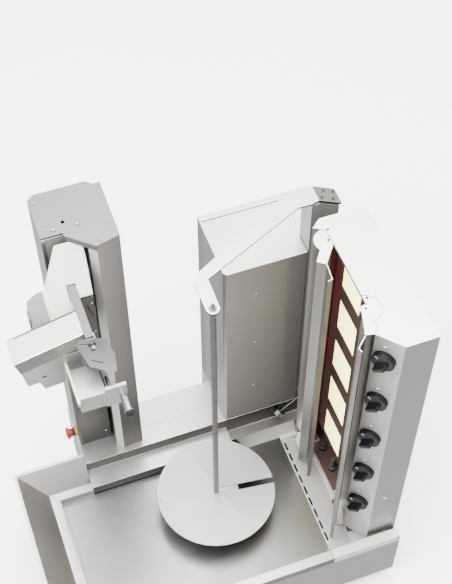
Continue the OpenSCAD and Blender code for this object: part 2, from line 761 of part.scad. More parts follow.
// Carriage: a block on the guide rods, a plate through the tower's slot, two lugs and the swing pin
module carriage() color("darkgray") {
    difference() {
        block([rod_x[0] - 15, rod_y - 25, carriage_low], [swing[0] + 11, rod_y + 25, carriage_top]);
        for (x = rod_x) rod([x, rod_y, carriage_low - 1], rod_r + run_fit, carriage_h + 2);
        rod([screw_x, rod_y, carriage_low - 1], screw_r + run_fit, carriage_h + 2);
    }
    block([swing[0] + 6, swing[1], carriage_low], [swing[0] + 11, rod_y - 20, carriage_low + lug_h]);
    block([swing[0] + 6, swing[1], carriage_top - lug_h], [swing[0] + 11, rod_y - 20, carriage_top]);
    block([swing[0] + 6, swing[1] + 12, carriage_low], [swing[0] + 11, rod_y - 20, carriage_top]);
    for (z = [carriage_low, carriage_top - lug_h]) rod([swing[0], swing[1], z], lug_r, lug_h);
    rod([swing[0], swing[1], carriage_low + 1], pin_r, carriage_h - 2);
}

// Folded frame behind the hood, hung on the swing pin
module head_frame() color("gray") difference() {
    union() {
        block([tower_x + 6, frame_back, carriage_low + 40], [swing[0] - 3, frame_back + 6, beam_top + 24]);
        block([tower_x + 88, frame_front + 1, carriage_low],
            [tower_x + 92, frame_back + 1, front_plate_top]);
        block([rail_x + rail_w, frame_front, carriage_low - 60],
            [tower_x + 92, frame_front + 4, front_plate_top]);
        rod([swing[0], swing[1], carriage_low + lug_h + seat], lug_r, carriage_h - 2 * lug_h - 2 * seat);
    }
    rod([swing[0], swing[1], carriage_low], pin_r + run_fit, carriage_h + 99);
    for (z = [carriage_low - 1, carriage_top - lug_h - seat])
        block([swing[0] - 12, swing[1] - 12, z], [swing[0] + 12, swing[1] + 12, z + lug_h + 1 + seat]);
    block([swing[0] - 12, swing[1] - 12, carriage_top - 1],
        [swing[0] + 12, swing[1] + 12, carriage_top + 99]);
    translate([tower_x, frame_front + 9, 0]) rotate([90, 0, 0]) linear_extrude(height = 20) polygon([
        [70, beam_top - 67], [74, beam_top - 65], [88, beam_top - 117], [84, beam_top - 119]]);
}

// Slab under the sloping plane of the hood
module hood_slab(t) {
    translate([tower_x - 200, hood_y, hood_z]) rotate([hood_slope, 0, 0]) translate([0, -300, -t])
        cube([400, 300, t]);
}

module hood() color("white") difference() {
    intersection() {
        hood_slab(hood_t);
        translate([0, 0, beam_top - 300]) linear_extrude(height = 500) polygon([
            [tower_x + 28, hood_y], [tower_x + 99, hood_y], [tower_x + 99, swing[1] - 20],
            [tower_x + 92, frame_front],
            [tower_x + 57, frame_front], [tower_x + 57, swing[1] - 127], [rail_x + 5, swing[1] - 127],
            [rail_x, swing[1] - 65]]);
    }
    block([beam_x - 1, swing[1] - 145, beam_top - beam_t - 2],
        [beam_x + beam_w + 1, frame_back, beam_top + 2]);
    block([beam_x - 1, swing[1] - 145, beam_top - beam_t - 27],
        [beam_x + beam_t + 1, frame_back, beam_top + 2]);
}

// Box beside the hood, under the same sloping plane
module scanner_box() color("silver") intersection() {
    hood_slab(200);
    translate([0, swing[1], beam_top - 131]) linear_extrude(height = 200) polygon([
        [rail_x, -126], [rail_x, -60], [rail_x - 12, -59], [rail_x - 45, -70], [rail_x - 49, -85],
        [rail_x - 46, -126]]);
}

module beam() color("gainsboro") {
    block([beam_x, beam_front, beam_top - beam_t], [beam_x + beam_w, frame_back, beam_top]);
    block([beam_x, beam_front, beam_top - beam_t - 25], [beam_x + beam_t, frame_back, beam_top - beam_t + 1]);
}

// Underside of the tilted cover at x, and the gap below it
cover_gap = 0.1;
cover_left = [motor_left, beam_top - (beam_x - motor_left) * tan(motor_tilt)];
cover_foot = cover_left + cover_h * [sin(motor_tilt), -cos(motor_tilt)];
function under_cover(x) = cover_foot[1] + (x - cover_foot[0]) * tan(motor_tilt);

module motor_cover() color("white") along_y(motor_y, motor_y + motor_w) polygon([
    cover_left, cover_foot, [beam_x, under_cover(beam_x)], [beam_x, beam_top]]);

module motor_body() color("silver") along_y(motor_y + 0.6, motor_y + motor_w - 6) polygon([
    [cover_foot[0] + 1, under_cover(cover_foot[0] + 1) - cover_gap], [rail_x - 97, beam_top - 157],
    [rail_x - 67, beam_top - 155], [rail_x - 57, beam_top - 190], [rail_x - 3, beam_top - 184],
    [rail_x, beam_top - 131], [rail_x, under_cover(rail_x) - cover_gap]]);

// Frame of the guard and knife: X stays, Y runs up the slope, Z is the knife's axis
module on_knife() {
    translate([0, beam_front, beam_top]) rotate([knife_slope, 0, 0]) children();
}

module gear_head() color("darkgray") difference() {
    union() {
        block([rail_x, head_box_y, tray_top + 5],
            [knife_at[0] + 16, head_box_y + 43, under_cover(rail_x) - cover_gap]);
        block([rail_x + rail_w + 0.5, head_box_y, tray_top - 30],
            [knife_at[0] + 16, head_box_y + 43, tray_top + 6]);
        on_knife() rod([knife_at[0], -knife_at[1], -90], 16, 74);
    }
    on_knife() rod([knife_at[0], -knife_at[1], -44], 5 + run_fit, 60);
}

module guard() color("gainsboro") {
    on_knife() difference() {
        translate([tower_x, 0, -3]) linear_extrude(height = 3) polygon([
            [7, -12.3], [17, -2.3], [44, -2.3], [86, -17.3], [86, -37.3], [93, -57.3], [86, -99.9],
            [69, -99.9], [43, -81.1], [24, -71.1], [15, -41.1]]);
        translate([tower_x + 14, -13, -9]) rotate([0, 0, -12]) cube([26, 2.5, 20]);
        translate([tower_x + 32, -58, -9]) rotate([0, 0, -28]) cube([30, 2.5, 20]);
    }
    on_knife() rod([tower_x + 45, -26, -1], 9, 5);
    block([beam_x + beam_t + 1, beam_front - 8, beam_top - beam_t - 3],
        [beam_x + beam_w, beam_front + 20, beam_top - beam_t]);
}

module knife() color("lightsteelblue") on_knife() {
    rod([knife_at[0], -knife_at[1], -12], knife_r, 1.5);
    rod([knife_at[0], -knife_at[1], -15.5], 10, 4);
    rod([knife_at[0], -knife_at[1], -43], 5, 32);
}

module scan_tray() color("gainsboro") {
    difference() {
        translate([0, 0, tray_low]) linear_extrude(height = tray_h) polygon([
            [rail_x + rail_w, tray_rear], [rail_x + 78, tray_rear], [rail_x + 79, tray_front],
            [rail_x + rail_w, tray_front]]);
        translate([0, 0, tray_low - 1]) linear_extrude(height = tray_h - 1) polygon([
            [rail_x + rail_w + 2, tray_rear - 2], [rail_x + 76, tray_rear - 2], [rail_x + 76, tray_front + 2],
            [rail_x + rail_w + 2, tray_front + 2]]);
    }
    block([rail_x + 76, tray_front, tray_low - 7], [rail_x + 131, tray_front + 9, tray_top + 10]);
}

module light_rail() color("gainsboro") {
    block([rail_x + 3, tray_front - 11, tray_top - 13],
        [rail_x + rail_w, swing[1] - 26, tray_top - 13 + rail_h]);
    block([rail_x, swing[1] - 130, tray_top - 13],
        [rail_x + 4, swing[1] - 26, tray_top - 13 + rail_h]);
}

module light_strip() color("lightyellow") {
    block([rail_x + 3.5, tray_front - 10, tray_top - 13 + rail_h],
        [rail_x + 9.5, swing[1] - 31, tray_top - 11 + rail_h]);
}

module sensor() color("gray") {
    translate([rail_x + 121, tray_front, tray_top - 43]) rotate([90, 0, 0]) {
        cylinder(r = sensor_r, h = sensor_len - 5);
        translate([0, 0, sensor_len - 6]) cylinder(r = sensor_r + 2, h = 6);
    }
}

module tray_bar() color("gainsboro") difference() {
    block([rail_x + 81, tray_front + 9, tray_top + 5], [rail_x + 95, head_box_y - 23, tray_top + 9]);
    block([rail_x + 85, tray_front + 14, tray_top], [rail_x + 91, tray_front + 40, tray_top + 20]);
}

// Plan of the burner casing's wall, from one side of the mouth round to the other
casing_path = [
    [frame_x, mouth_front], [mouth_x, mouth_front], [mouth_x, panel_a[1] + 17], panel_a, panel_b,
    [right - 2, panel_b[1]], [right - 2, gutter_y], [right - 136, gutter_y],
    [right - 164, gutter_y - 24], [right - 134, gutter_y - 40], [mouth_x, mouth_back],
    [frame_x, mouth_back]];
casing_plan = [for (i = [1:len(casing_path) - 2]) casing_path[i]];

module on_panel(z) {
    translate([panel_mid[0], panel_mid[1], deck_z + z]) rotate([0, 0, panel_turn])
        rotate([90, 0, 0]) children();
}

module on_knob(i) {
    on_panel(knob_low + i * knob_pitch) translate([knob_shift, 0, 0]) children();
}

module burner_casing() color("gainsboro") difference() {
    union() {
        translate([0, 0, case_low]) fold(casing_path, sheet, case_top - case_low - 1);
        for (z = [[case_low, 4], [roof_z, case_top - roof_z]])
            translate([0, 0, z[0]]) linear_extrude(height = z[1]) polygon(casing_plan);
        for (p = [pivot_rear, pivot_front]) {
            rod([p[0], p[1], roof_z], 14, hinge_z - roof_z);
            rod([p[0], p[1], case_low], 14, 4);
        }
    }
    rod([pivot_rear[0], pivot_rear[1], slot_z], wing_r + 2, 4);
    rod([pivot_front[0], pivot_front[1], hinge_z], wing_r + 2, 20);
    for (p = [pivot_rear, pivot_front]) {
        rod([p[0], p[1], roof_z - 1], wing_pin_r + run_fit, 30);
        rod([p[0], p[1], case_low - 1], wing_pin_r + run_fit, 30);
        rod([p[0], p[1], case_low + 4], wing_r + 2, 6);
    }
    for (i = [0:burners - 1]) on_knob(i) translate([0, 0, -9]) cylinder(r = 5, h = 20);
    on_panel(igniter_z) translate([-26, 0, -9]) cylinder(r = 6, h = 20);
}

module burner_frame() color("maroon") difference() {
    block([frame_x, mouth_front + sheet, deck_z + tile_low - 15], [frame_x + 2, mouth_back - sheet, roof_z]);
    for (i = [0:burners - 1])
        block([frame_x - 1, tile_y - tile_w / 2, deck_z + tile_low + i * tile_pitch],
            [frame_x + 3, tile_y + tile_w / 2, deck_z + tile_low + i * tile_pitch + tile_h]);
}

module tiles() color("lemonchiffon") {
    for (i = [0:burners - 1])
        block([frame_x + 2, tile_y - tile_w / 2 - 3, deck_z + tile_low + i * tile_pitch - 3],
            [frame_x + 2 + tile_t, tile_y + tile_w / 2 + 3, deck_z + tile_low + i * tile_pitch + tile_h + 3]);
}

plenum_x = frame_x + 2 + tile_t;
module plenums() color("gray") {
    for (i = [0:burners - 1])
        block([plenum_x, tile_y - tile_w / 2, deck_z + tile_low + i * tile_pitch],
            [plenum_x + 52, tile_y + tile_w / 2, deck_z + tile_low + i * tile_pitch + tile_h]);
    block([plenum_x + 51, tile_y - 15, case_low + 4], [plenum_x + 56, tile_y + 15, roof_z]);
}

// Hose ends on the casing's floor: distance from the front of the mouth, and height
hose_ends = [[99, 66], [179, 28]];
module gas_train() color("darkgray") difference() {
    union() {
        rod([manifold[0], manifold[1], case_low + 4], 9,
            deck_z + tile_low + (burners - 0.4) * tile_pitch - case_low);
        for (f = hose_ends) {
            rod([frame_x + 10, mouth_front + f[0], case_low + 4], 7, f[1]);
            rod([frame_x + 10, mouth_front + f[0], case_low + 4], 13, 16);
        }
        for (i = [0:burners - 1]) {
            on_knob(i) translate([0, 0, -50]) cylinder(r = 13, h = 47);
            translate([manifold[0], manifold[1], deck_z + tile_low + i * tile_pitch + tile_h / 2])
                rotate([-90, 0, 0]) cylinder(r = 5, h = tile_y - tile_w / 2 - manifold[1]);
        }
    }
    for (i = [0:burners - 1]) on_knob(i) translate([0, 0, -20]) cylinder(r = 4 + run_fit, h = 30);
}

// A wing round its pivot: a plate at each end of a folded sheet, turning on two short pins
module wing(pivot, top, tab, cut, path) translate([pivot[0], pivot[1], 0]) {
    for (z = [case_low + 4 + seat, top - 3.2])
        translate([0, 0, z]) linear_extrude(height = 3.2) difference() {
            union() {
                circle(r = wing_r);
                polygon(concat([[0, 0]], tab));
            }
            polygon(cut);
        }
    translate([0, 0, case_low + 6]) fold(path, wing_t, top - 2 - case_low - 6);
    rod([0, 0, roof_z - 1], wing_pin_r, top - roof_z);
    rod([0, 0, case_low], wing_pin_r, 6);
}

module wing_rear() color("gainsboro") {
    wing(pivot_rear, slot_z + 3.6, [[-33, -22], [-56, -55], [-35, -71], [7.5, -15]],
        [[7.5, -15], [-35, -71], [-35, -99], [60, -99], [60, -15]],
        [[-56, -55], [-35, -71], [-40, -117], [-52, -119]]);
}

module wing_front() color("gainsboro") {
    wing(pivot_front, case_top, [[-13, -4], [-34, -72], [-10.5, -77.5], [4.5, -61], [4.5, -38]],
        [[6, 11], [-13, -4], [-34, -72], [-80, -72], [-80, 60], [6, 60]],
        [[-14.9, -10], [-34, -72], [-65, -101], [-60, -113]]);
}

// A gas knob: a thick disc with a grip bar across it on a short shaft
module knob(i) color("black") on_knob(i) {
    translate([0, 0, 1]) cylinder(r = knob_r, h = knob_skirt);
    rotate([0, 0, 35]) translate([-18, -6, knob_skirt]) cube([36, 12, knob_h - knob_skirt]);
    translate([0, 0, -16]) cylinder(r = 4, h = 18);
}

module clamp_lever() color("silver") {
    translate([lever_at[0], ledge_y - seat, lever_at[2]]) rotate([90, 0, 0]) difference() {
        cylinder(r = 9, h = 22);
        translate([0, 0, -1]) cylinder(r = 4 + run_fit, h = 40);
    }
    translate(lever_at) rotate([0, -90 - lever_turn, 0]) {
        translate([0, 0, 7]) cylinder(r = 2, h = lever_len - 12);
        translate([0, 0, lever_len - 8.5]) cylinder(r = lever_knob_r, h = 17);
    }
}

module igniter_button() color("black") on_panel(igniter_z) translate([-26, 0, 0]) {
    translate([0, 0, 4.5]) cylinder(r = 9, h = 5);
    translate([0, 0, -6]) cylinder(r = 6 - run_fit, h = 11);
}

base_shell();
base_front();
feet();
pan();
hopper();
ledges();
splash_bar();
burner_bay();
burner_rails();
tower_column();
tower_panel();
tower_cap();
cover_screws();
guide_rails();
lift_motor();
housing();
control_unit();
post();
arm();
arm_bush();
estop_collar();
turntable_bearing();
turntable_motor();
fat_drawer();
turntable_plate();
turntable_hub();
drive_gear();
skewer();
motor_pinion();
lead_screw();
carriage();
head_frame();
hood();
scanner_box();
beam();
motor_cover();
motor_body();
gear_head();
guard();
scan_tray();
light_rail();
light_strip();
sensor();
tray_bar();
knife();
burner_casing();
burner_frame();
tiles();
plenums();
gas_train();
wing_rear();
wing_front();
knob(0);  // knob_1
knob(1);  // knob_2
knob(2);  // knob_3
knob(3);  // knob_4
knob(4);  // knob_5
clamp_lever();
estop_button();
igniter_button();
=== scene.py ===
# Looks of the gas doner kebab grill: finishes for its sheet, castings and plastics, and the small
# pieces that the plain solids leave out. Metres, in the same frame as the solids.
import json
import math

import bpy
from mathutils import Matrix, Vector


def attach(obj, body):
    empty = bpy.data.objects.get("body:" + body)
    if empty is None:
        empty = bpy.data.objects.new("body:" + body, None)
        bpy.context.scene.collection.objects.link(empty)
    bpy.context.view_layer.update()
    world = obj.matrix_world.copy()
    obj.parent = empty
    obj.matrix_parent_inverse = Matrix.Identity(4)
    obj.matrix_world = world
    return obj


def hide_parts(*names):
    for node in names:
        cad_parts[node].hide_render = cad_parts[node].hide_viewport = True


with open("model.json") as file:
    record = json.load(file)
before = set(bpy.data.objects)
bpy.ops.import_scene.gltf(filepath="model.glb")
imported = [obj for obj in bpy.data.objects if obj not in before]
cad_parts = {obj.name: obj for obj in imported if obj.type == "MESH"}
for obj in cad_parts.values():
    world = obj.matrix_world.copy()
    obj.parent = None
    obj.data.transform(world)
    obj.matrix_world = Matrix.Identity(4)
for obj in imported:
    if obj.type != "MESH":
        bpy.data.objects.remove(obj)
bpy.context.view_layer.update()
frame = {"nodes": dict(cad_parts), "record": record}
nodes = frame["nodes"]
record = frame["record"]
body_of = {node: body for body, names in record["behaviour"]["bodies"].items() for node in names}

MM = 0.001
RIGHT, BACK, UP = (1, 0, 0), (0, 1, 0), (0, 0, 1)
LEFT, FRONT, DOWN = (-1, 0, 0), (0, -1, 0), (0, 0, -1)
BLACK, WHITE = (0, 0, 0, 1), (1, 1, 1, 1)

# Height of the base's upper ledge, and the lift tower's left wall and top
DECK = 0.330
TOWER_LEFT = -0.306
TOWER_TOP = 1.360

# Sockets of a Mix node that mixes colours
MIX_AMOUNT, MIX_LOW, MIX_HIGH, MIX_RESULT = 0, 6, 7, 2

# Scale of a sheet's brushed grain along its lines and across them
ALONG_GRAIN, ACROSS_GRAIN = 6, 900

# Strength of the glow of painted light on the cream burner plaques, and of the scanning lamp's
PLAQUE_PAINTED_GLOW = 4.0
LAMP_GLOW = 2.2


class Sock:
    """A shader socket in an expression: each operation on it adds one Math node."""

    def __init__(self, graph, socket):
        self.graph = graph
        self.socket = socket

    def math(self, operation, *values, clamp=False):
        node = self.graph.node("ShaderNodeMath", {"operation": operation, "use_clamp": clamp})
        for place, value in enumerate(values):
            self.graph.feed(node.inputs[place], value)
        return Sock(self.graph, node.outputs[0])

    def __add__(self, other):
        return self.math("ADD", self, other)

    def __sub__(self, other):
        return self.math("SUBTRACT", self, other)

    def __rsub__(self, other):
        return self.math("SUBTRACT", other, self)

    def __mul__(self, other):
        return self.math("MULTIPLY", self, other)

    __radd__ = __add__
    __rmul__ = __mul__

    def clamped(self):
        return self.math("ADD", self, 0.0, clamp=True)


class Graph:
    """One material's nodes, with a Principled shader that Object coordinates drive."""

    def __init__(self, name, **fixed):
        self.material = bpy.data.materials.new(name)
        self.material.use_nodes = True
        self.tree = self.material.node_tree
        self.tree.nodes.clear()
        output = self.node("ShaderNodeOutputMaterial")
        self.shader = self.node("ShaderNodeBsdfPrincipled")
        self.tree.links.new(self.shader.outputs[0], output.inputs[0])
        self.place = Sock(self, self.node("ShaderNodeTexCoord").outputs["Object"])
        for socket, value in fixed.items():
            self.shader.inputs[socket.replace("_", " ")].default_value = value

    def feed(self, socket, value):
        if isinstance(value, Sock):
            self.tree.links.new(value.socket, socket)
        else:
            socket.default_value = value

    def node(self, kind, settings=None, **values):
        made = self.tree.nodes.new(kind)
        for name, value in (settings or {}).items():
            if name == "stops":
                ramp = made.color_ramp
                while len(ramp.elements) < len(value):
                    ramp.elements.new(0.5)
                for element, (position, color) in zip(ramp.elements, value):
                    element.position = position
                    element.color = color
            else:
                setattr(made, name, value)
        for name, value in values.items():
            self.feed(made.inputs[name.replace("_", " ")], value)
        return made

    def stretched(self, scale):
        """The place on the piece, scaled along each axis."""
        return Sock(self, self.node("ShaderNodeMapping", Vector=self.place, Scale=scale).outputs[0])

    def noise(self, scale, stretch=(1, 1, 1), detail=3.0, rough=0.55):
        made = self.node("ShaderNodeTexNoise", Vector=self.stretched(stretch), Scale=scale,
                         Detail=detail, Roughness=rough)
        return Sock(self, made.outputs[0])

    def mix(self, amount, low, high):
        made = self.node("ShaderNodeMix", {"data_type": "RGBA"})
        self.feed(made.inputs[MIX_AMOUNT], amount)
        self.feed(made.inputs[MIX_LOW], low)
        self.feed(made.inputs[MIX_HIGH], high)
        return Sock(self, made.outputs[MIX_RESULT])

    def ramp(self, amount, *stops):
        made = self.node("ShaderNodeValToRGB", {"stops": stops}, Fac=amount)
        return Sock(self, made.outputs[0])

    def falloff(self, direction, start, end, share):
        """1 up to start along a direction, falling to share at end."""
        along = self.node("ShaderNodeVectorMath", {"operation": "DOT_PRODUCT"})
        self.feed(along.inputs[0], self.place)
        self.feed(along.inputs[1], direction)
        amount = ((Sock(self, along.outputs["Value"]) - start) * (1 / (end - start))).clamped()
        return amount * (share - 1) + 1.0

    def color(self, value):
        self.feed(self.shader.inputs["Base Color"], value)

    def roughness(self, value):
        self.feed(self.shader.inputs["Roughness"], value)

    def glow(self, color, strength):
        self.feed(self.shader.inputs["Emission Color"], color)
        self.shader.inputs["Emission Strength"].default_value = strength

    def bump(self, height, distance, strength):
        made = self.node("ShaderNodeBump", Height=height, Distance=distance, Strength=strength)
        self.tree.links.new(made.outputs[0], self.shader.inputs["Normal"])


def tone(value, warm=0.0):
    """A grey of that brightness, a little warm where asked."""
    return (value * (1 + warm), value, value * (1 - warm), 1.0)


def satin_steel(name, grey, rough, grain, marks=0.5, warm=0.03, painted_shade_fades=(), metal=1.0):
    """Satin stainless sheet: fine grain along one axis, faint wiping marks, soft cloudiness, and
    painted shade along each fade, which is a direction, its start, its end and the share left
    there."""
    g = Graph(name, Metallic=metal)
    brushed = tuple(ALONG_GRAIN if axis == grain else ACROSS_GRAIN for axis in "xyz")
    lines = g.noise(1.0, brushed, detail=4.0, rough=0.7)
    clouds = g.noise(2.6, detail=4.0)
    wipes = g.noise(9.0, (1.0, 2.6, 0.7), detail=5.0, rough=0.65)
    soil = g.ramp(wipes, (0.47, BLACK), (0.74, WHITE))
    base = g.mix(clouds, tone(grey * 0.95, warm + 0.006), tone(grey * 1.04, warm))
    grained = g.mix(lines * 0.35, base, tone(grey * 0.74, warm + 0.01))
    steel = g.mix(soil * (0.16 * marks), grained, tone(grey * 0.62, warm + 0.02))
    for direction, start, end, share in painted_shade_fades:
        steel = g.mix(g.falloff(direction, start, end, share), BLACK, steel)
    g.color(steel)
    g.roughness(rough + (lines - 0.5) * 0.16 + (clouds - 0.5) * 0.10 + soil * (0.08 * marks))
    g.bump(lines + wipes * 0.2, 0.06 * MM, 0.55)
    return g.material


def cast_metal(name, grey, rough):
    """Bead-blasted casting: tiny pits over a soft cloud."""
    g = Graph(name, Metallic=0.9)
    pits = g.noise(1400.0, detail=3.0, rough=0.75)
    clouds = g.noise(14.0, detail=4.0)
    g.color(g.mix(clouds, tone(grey * 0.86, 0.02), tone(grey * 1.07, 0.012)))
    g.roughness(rough + (pits - 0.5) * 0.2)
    g.bump(pits, 0.18 * MM, 0.6)
    return g.material


def turned_metal(name, color, rough):
    """Turned or ground metal: fine rings across Z and a thin oil film."""
    g = Graph(name, Metallic=1.0)
    rings = g.noise(1.0, (90, 90, 2600), detail=2.0)
    film = g.noise(22.0, detail=5.0)
    dark = tuple(c * 0.72 for c in color[:3]) + (1.0,)
    g.color(g.mix(film * 0.55 + rings * 0.2, color, dark))
    g.roughness(rough + (rings - 0.5) * 0.14 + (film - 0.5) * 0.12)
    g.bump(rings, 0.04 * MM, 0.5)
    return g.material


def enamel(name, color, worn, rough, turns=None):
    """Enamel with orange peel and heat-darkened clouds. Between the two places in turns, counted
    towards the front, it goes over into the worn colour."""
    g = Graph(name, Specular_IOR_Level=0.08)
    peel = g.noise(320.0, detail=2.0)
    heat = g.noise(11.0, (1, 1, 0.5), detail=5.0, rough=0.6)
    clouded = g.mix(g.ramp(heat, (0.35, BLACK), (0.7, WHITE)), color, worn)
    if turns:
        clouded = g.mix(g.falloff(FRONT, *turns, 0.12), worn, clouded)
    g.color(clouded)
    g.roughness(rough + (heat - 0.5) * 0.25)
    g.bump(peel, 0.12 * MM, 0.5)
    return g.material


def moulded(name, color, rough, dust=0.15, shine=0.12):
    """Moulded plastic or rubber: fine spark texture with a little pale dust."""
    g = Graph(name, Specular_IOR_Level=shine)
    spark = g.noise(1900.0, detail=2.0)
    specks = g.noise(60.0, detail=6.0, rough=0.7)
    light = tuple(min(1.0, c * 1.5 + 0.012) for c in color[:3]) + (1.0,)
    g.color(g.mix(g.ramp(specks, (0.45, BLACK), (0.8, WHITE)) * dust, color, light))
    g.roughness(rough + (specks - 0.5) * 0.22)
    g.bump(spark, 0.09 * MM, 0.6)
    return g.material


def glowing_ceramic(name):
    """Perforated burner plaque: rows of tiny holes in cream ceramic, made bright by a glow of
    painted light.
    """
    g = Graph(name)
    cells = g.node("ShaderNodeTexVoronoi", {"feature": "F1"}, Vector=g.stretched((0.05, 1, 1)),
                   Scale=260.0, Randomness=0.0)
    hole = g.ramp(Sock(g, cells.outputs["Distance"]), (0.26, WHITE), (0.36, BLACK))
    blotch = g.noise(26.0, detail=4.0)
    cream = g.mix(blotch, (0.93, 0.86, 0.27, 1), (0.96, 0.89, 0.33, 1))
    g.color(g.mix(hole * 0.30, cream, (0.80, 0.60, 0.25, 1)))
    g.roughness(0.86 + (blotch - 0.5) * 0.1)
    g.glow(g.mix(hole * 0.4, cream, (0.8, 0.62, 0.20, 1)), PLAQUE_PAINTED_GLOW)
    g.bump(1.0 - hole, 0.6 * MM, 0.5)
    return g.material


def milky_lamp(name):
    """Milky cover of the scanning light, faintly lit."""
    g = Graph(name)
    cloud = g.noise(40.0, (1, 0.2, 1), detail=2.0)
    g.color(g.mix(cloud, (0.30, 0.29, 0.08, 1), (0.36, 0.35, 0.12, 1)))
    g.roughness(0.42 + (cloud - 0.5) * 0.2)
    g.glow(g.mix(cloud, (0.90, 0.86, 0.16, 1), (0.95, 0.92, 0.24, 1)), LAMP_GLOW)
    return g.material


def dark_window(name):
    """Blue-grey cover glass over the scanner's eye."""
    g = Graph(name, Specular_IOR_Level=0.2)
    depth = g.noise(30.0, detail=2.0)
    g.color(g.mix(depth, (0.05, 0.08, 0.11, 1), (0.09, 0.13, 0.17, 1)))
    g.roughness(0.14 + depth * 0.08)
    return g.material


def pale_floor(name):
    """White studio paper with a faint wash."""
    g = Graph(name)
    wash = g.noise(1.2, detail=2.0)
    g.color(g.mix(wash, (0.90, 0.90, 0.90, 1), (0.93, 0.93, 0.93, 1)))
    g.roughness(0.9)
    return g.material
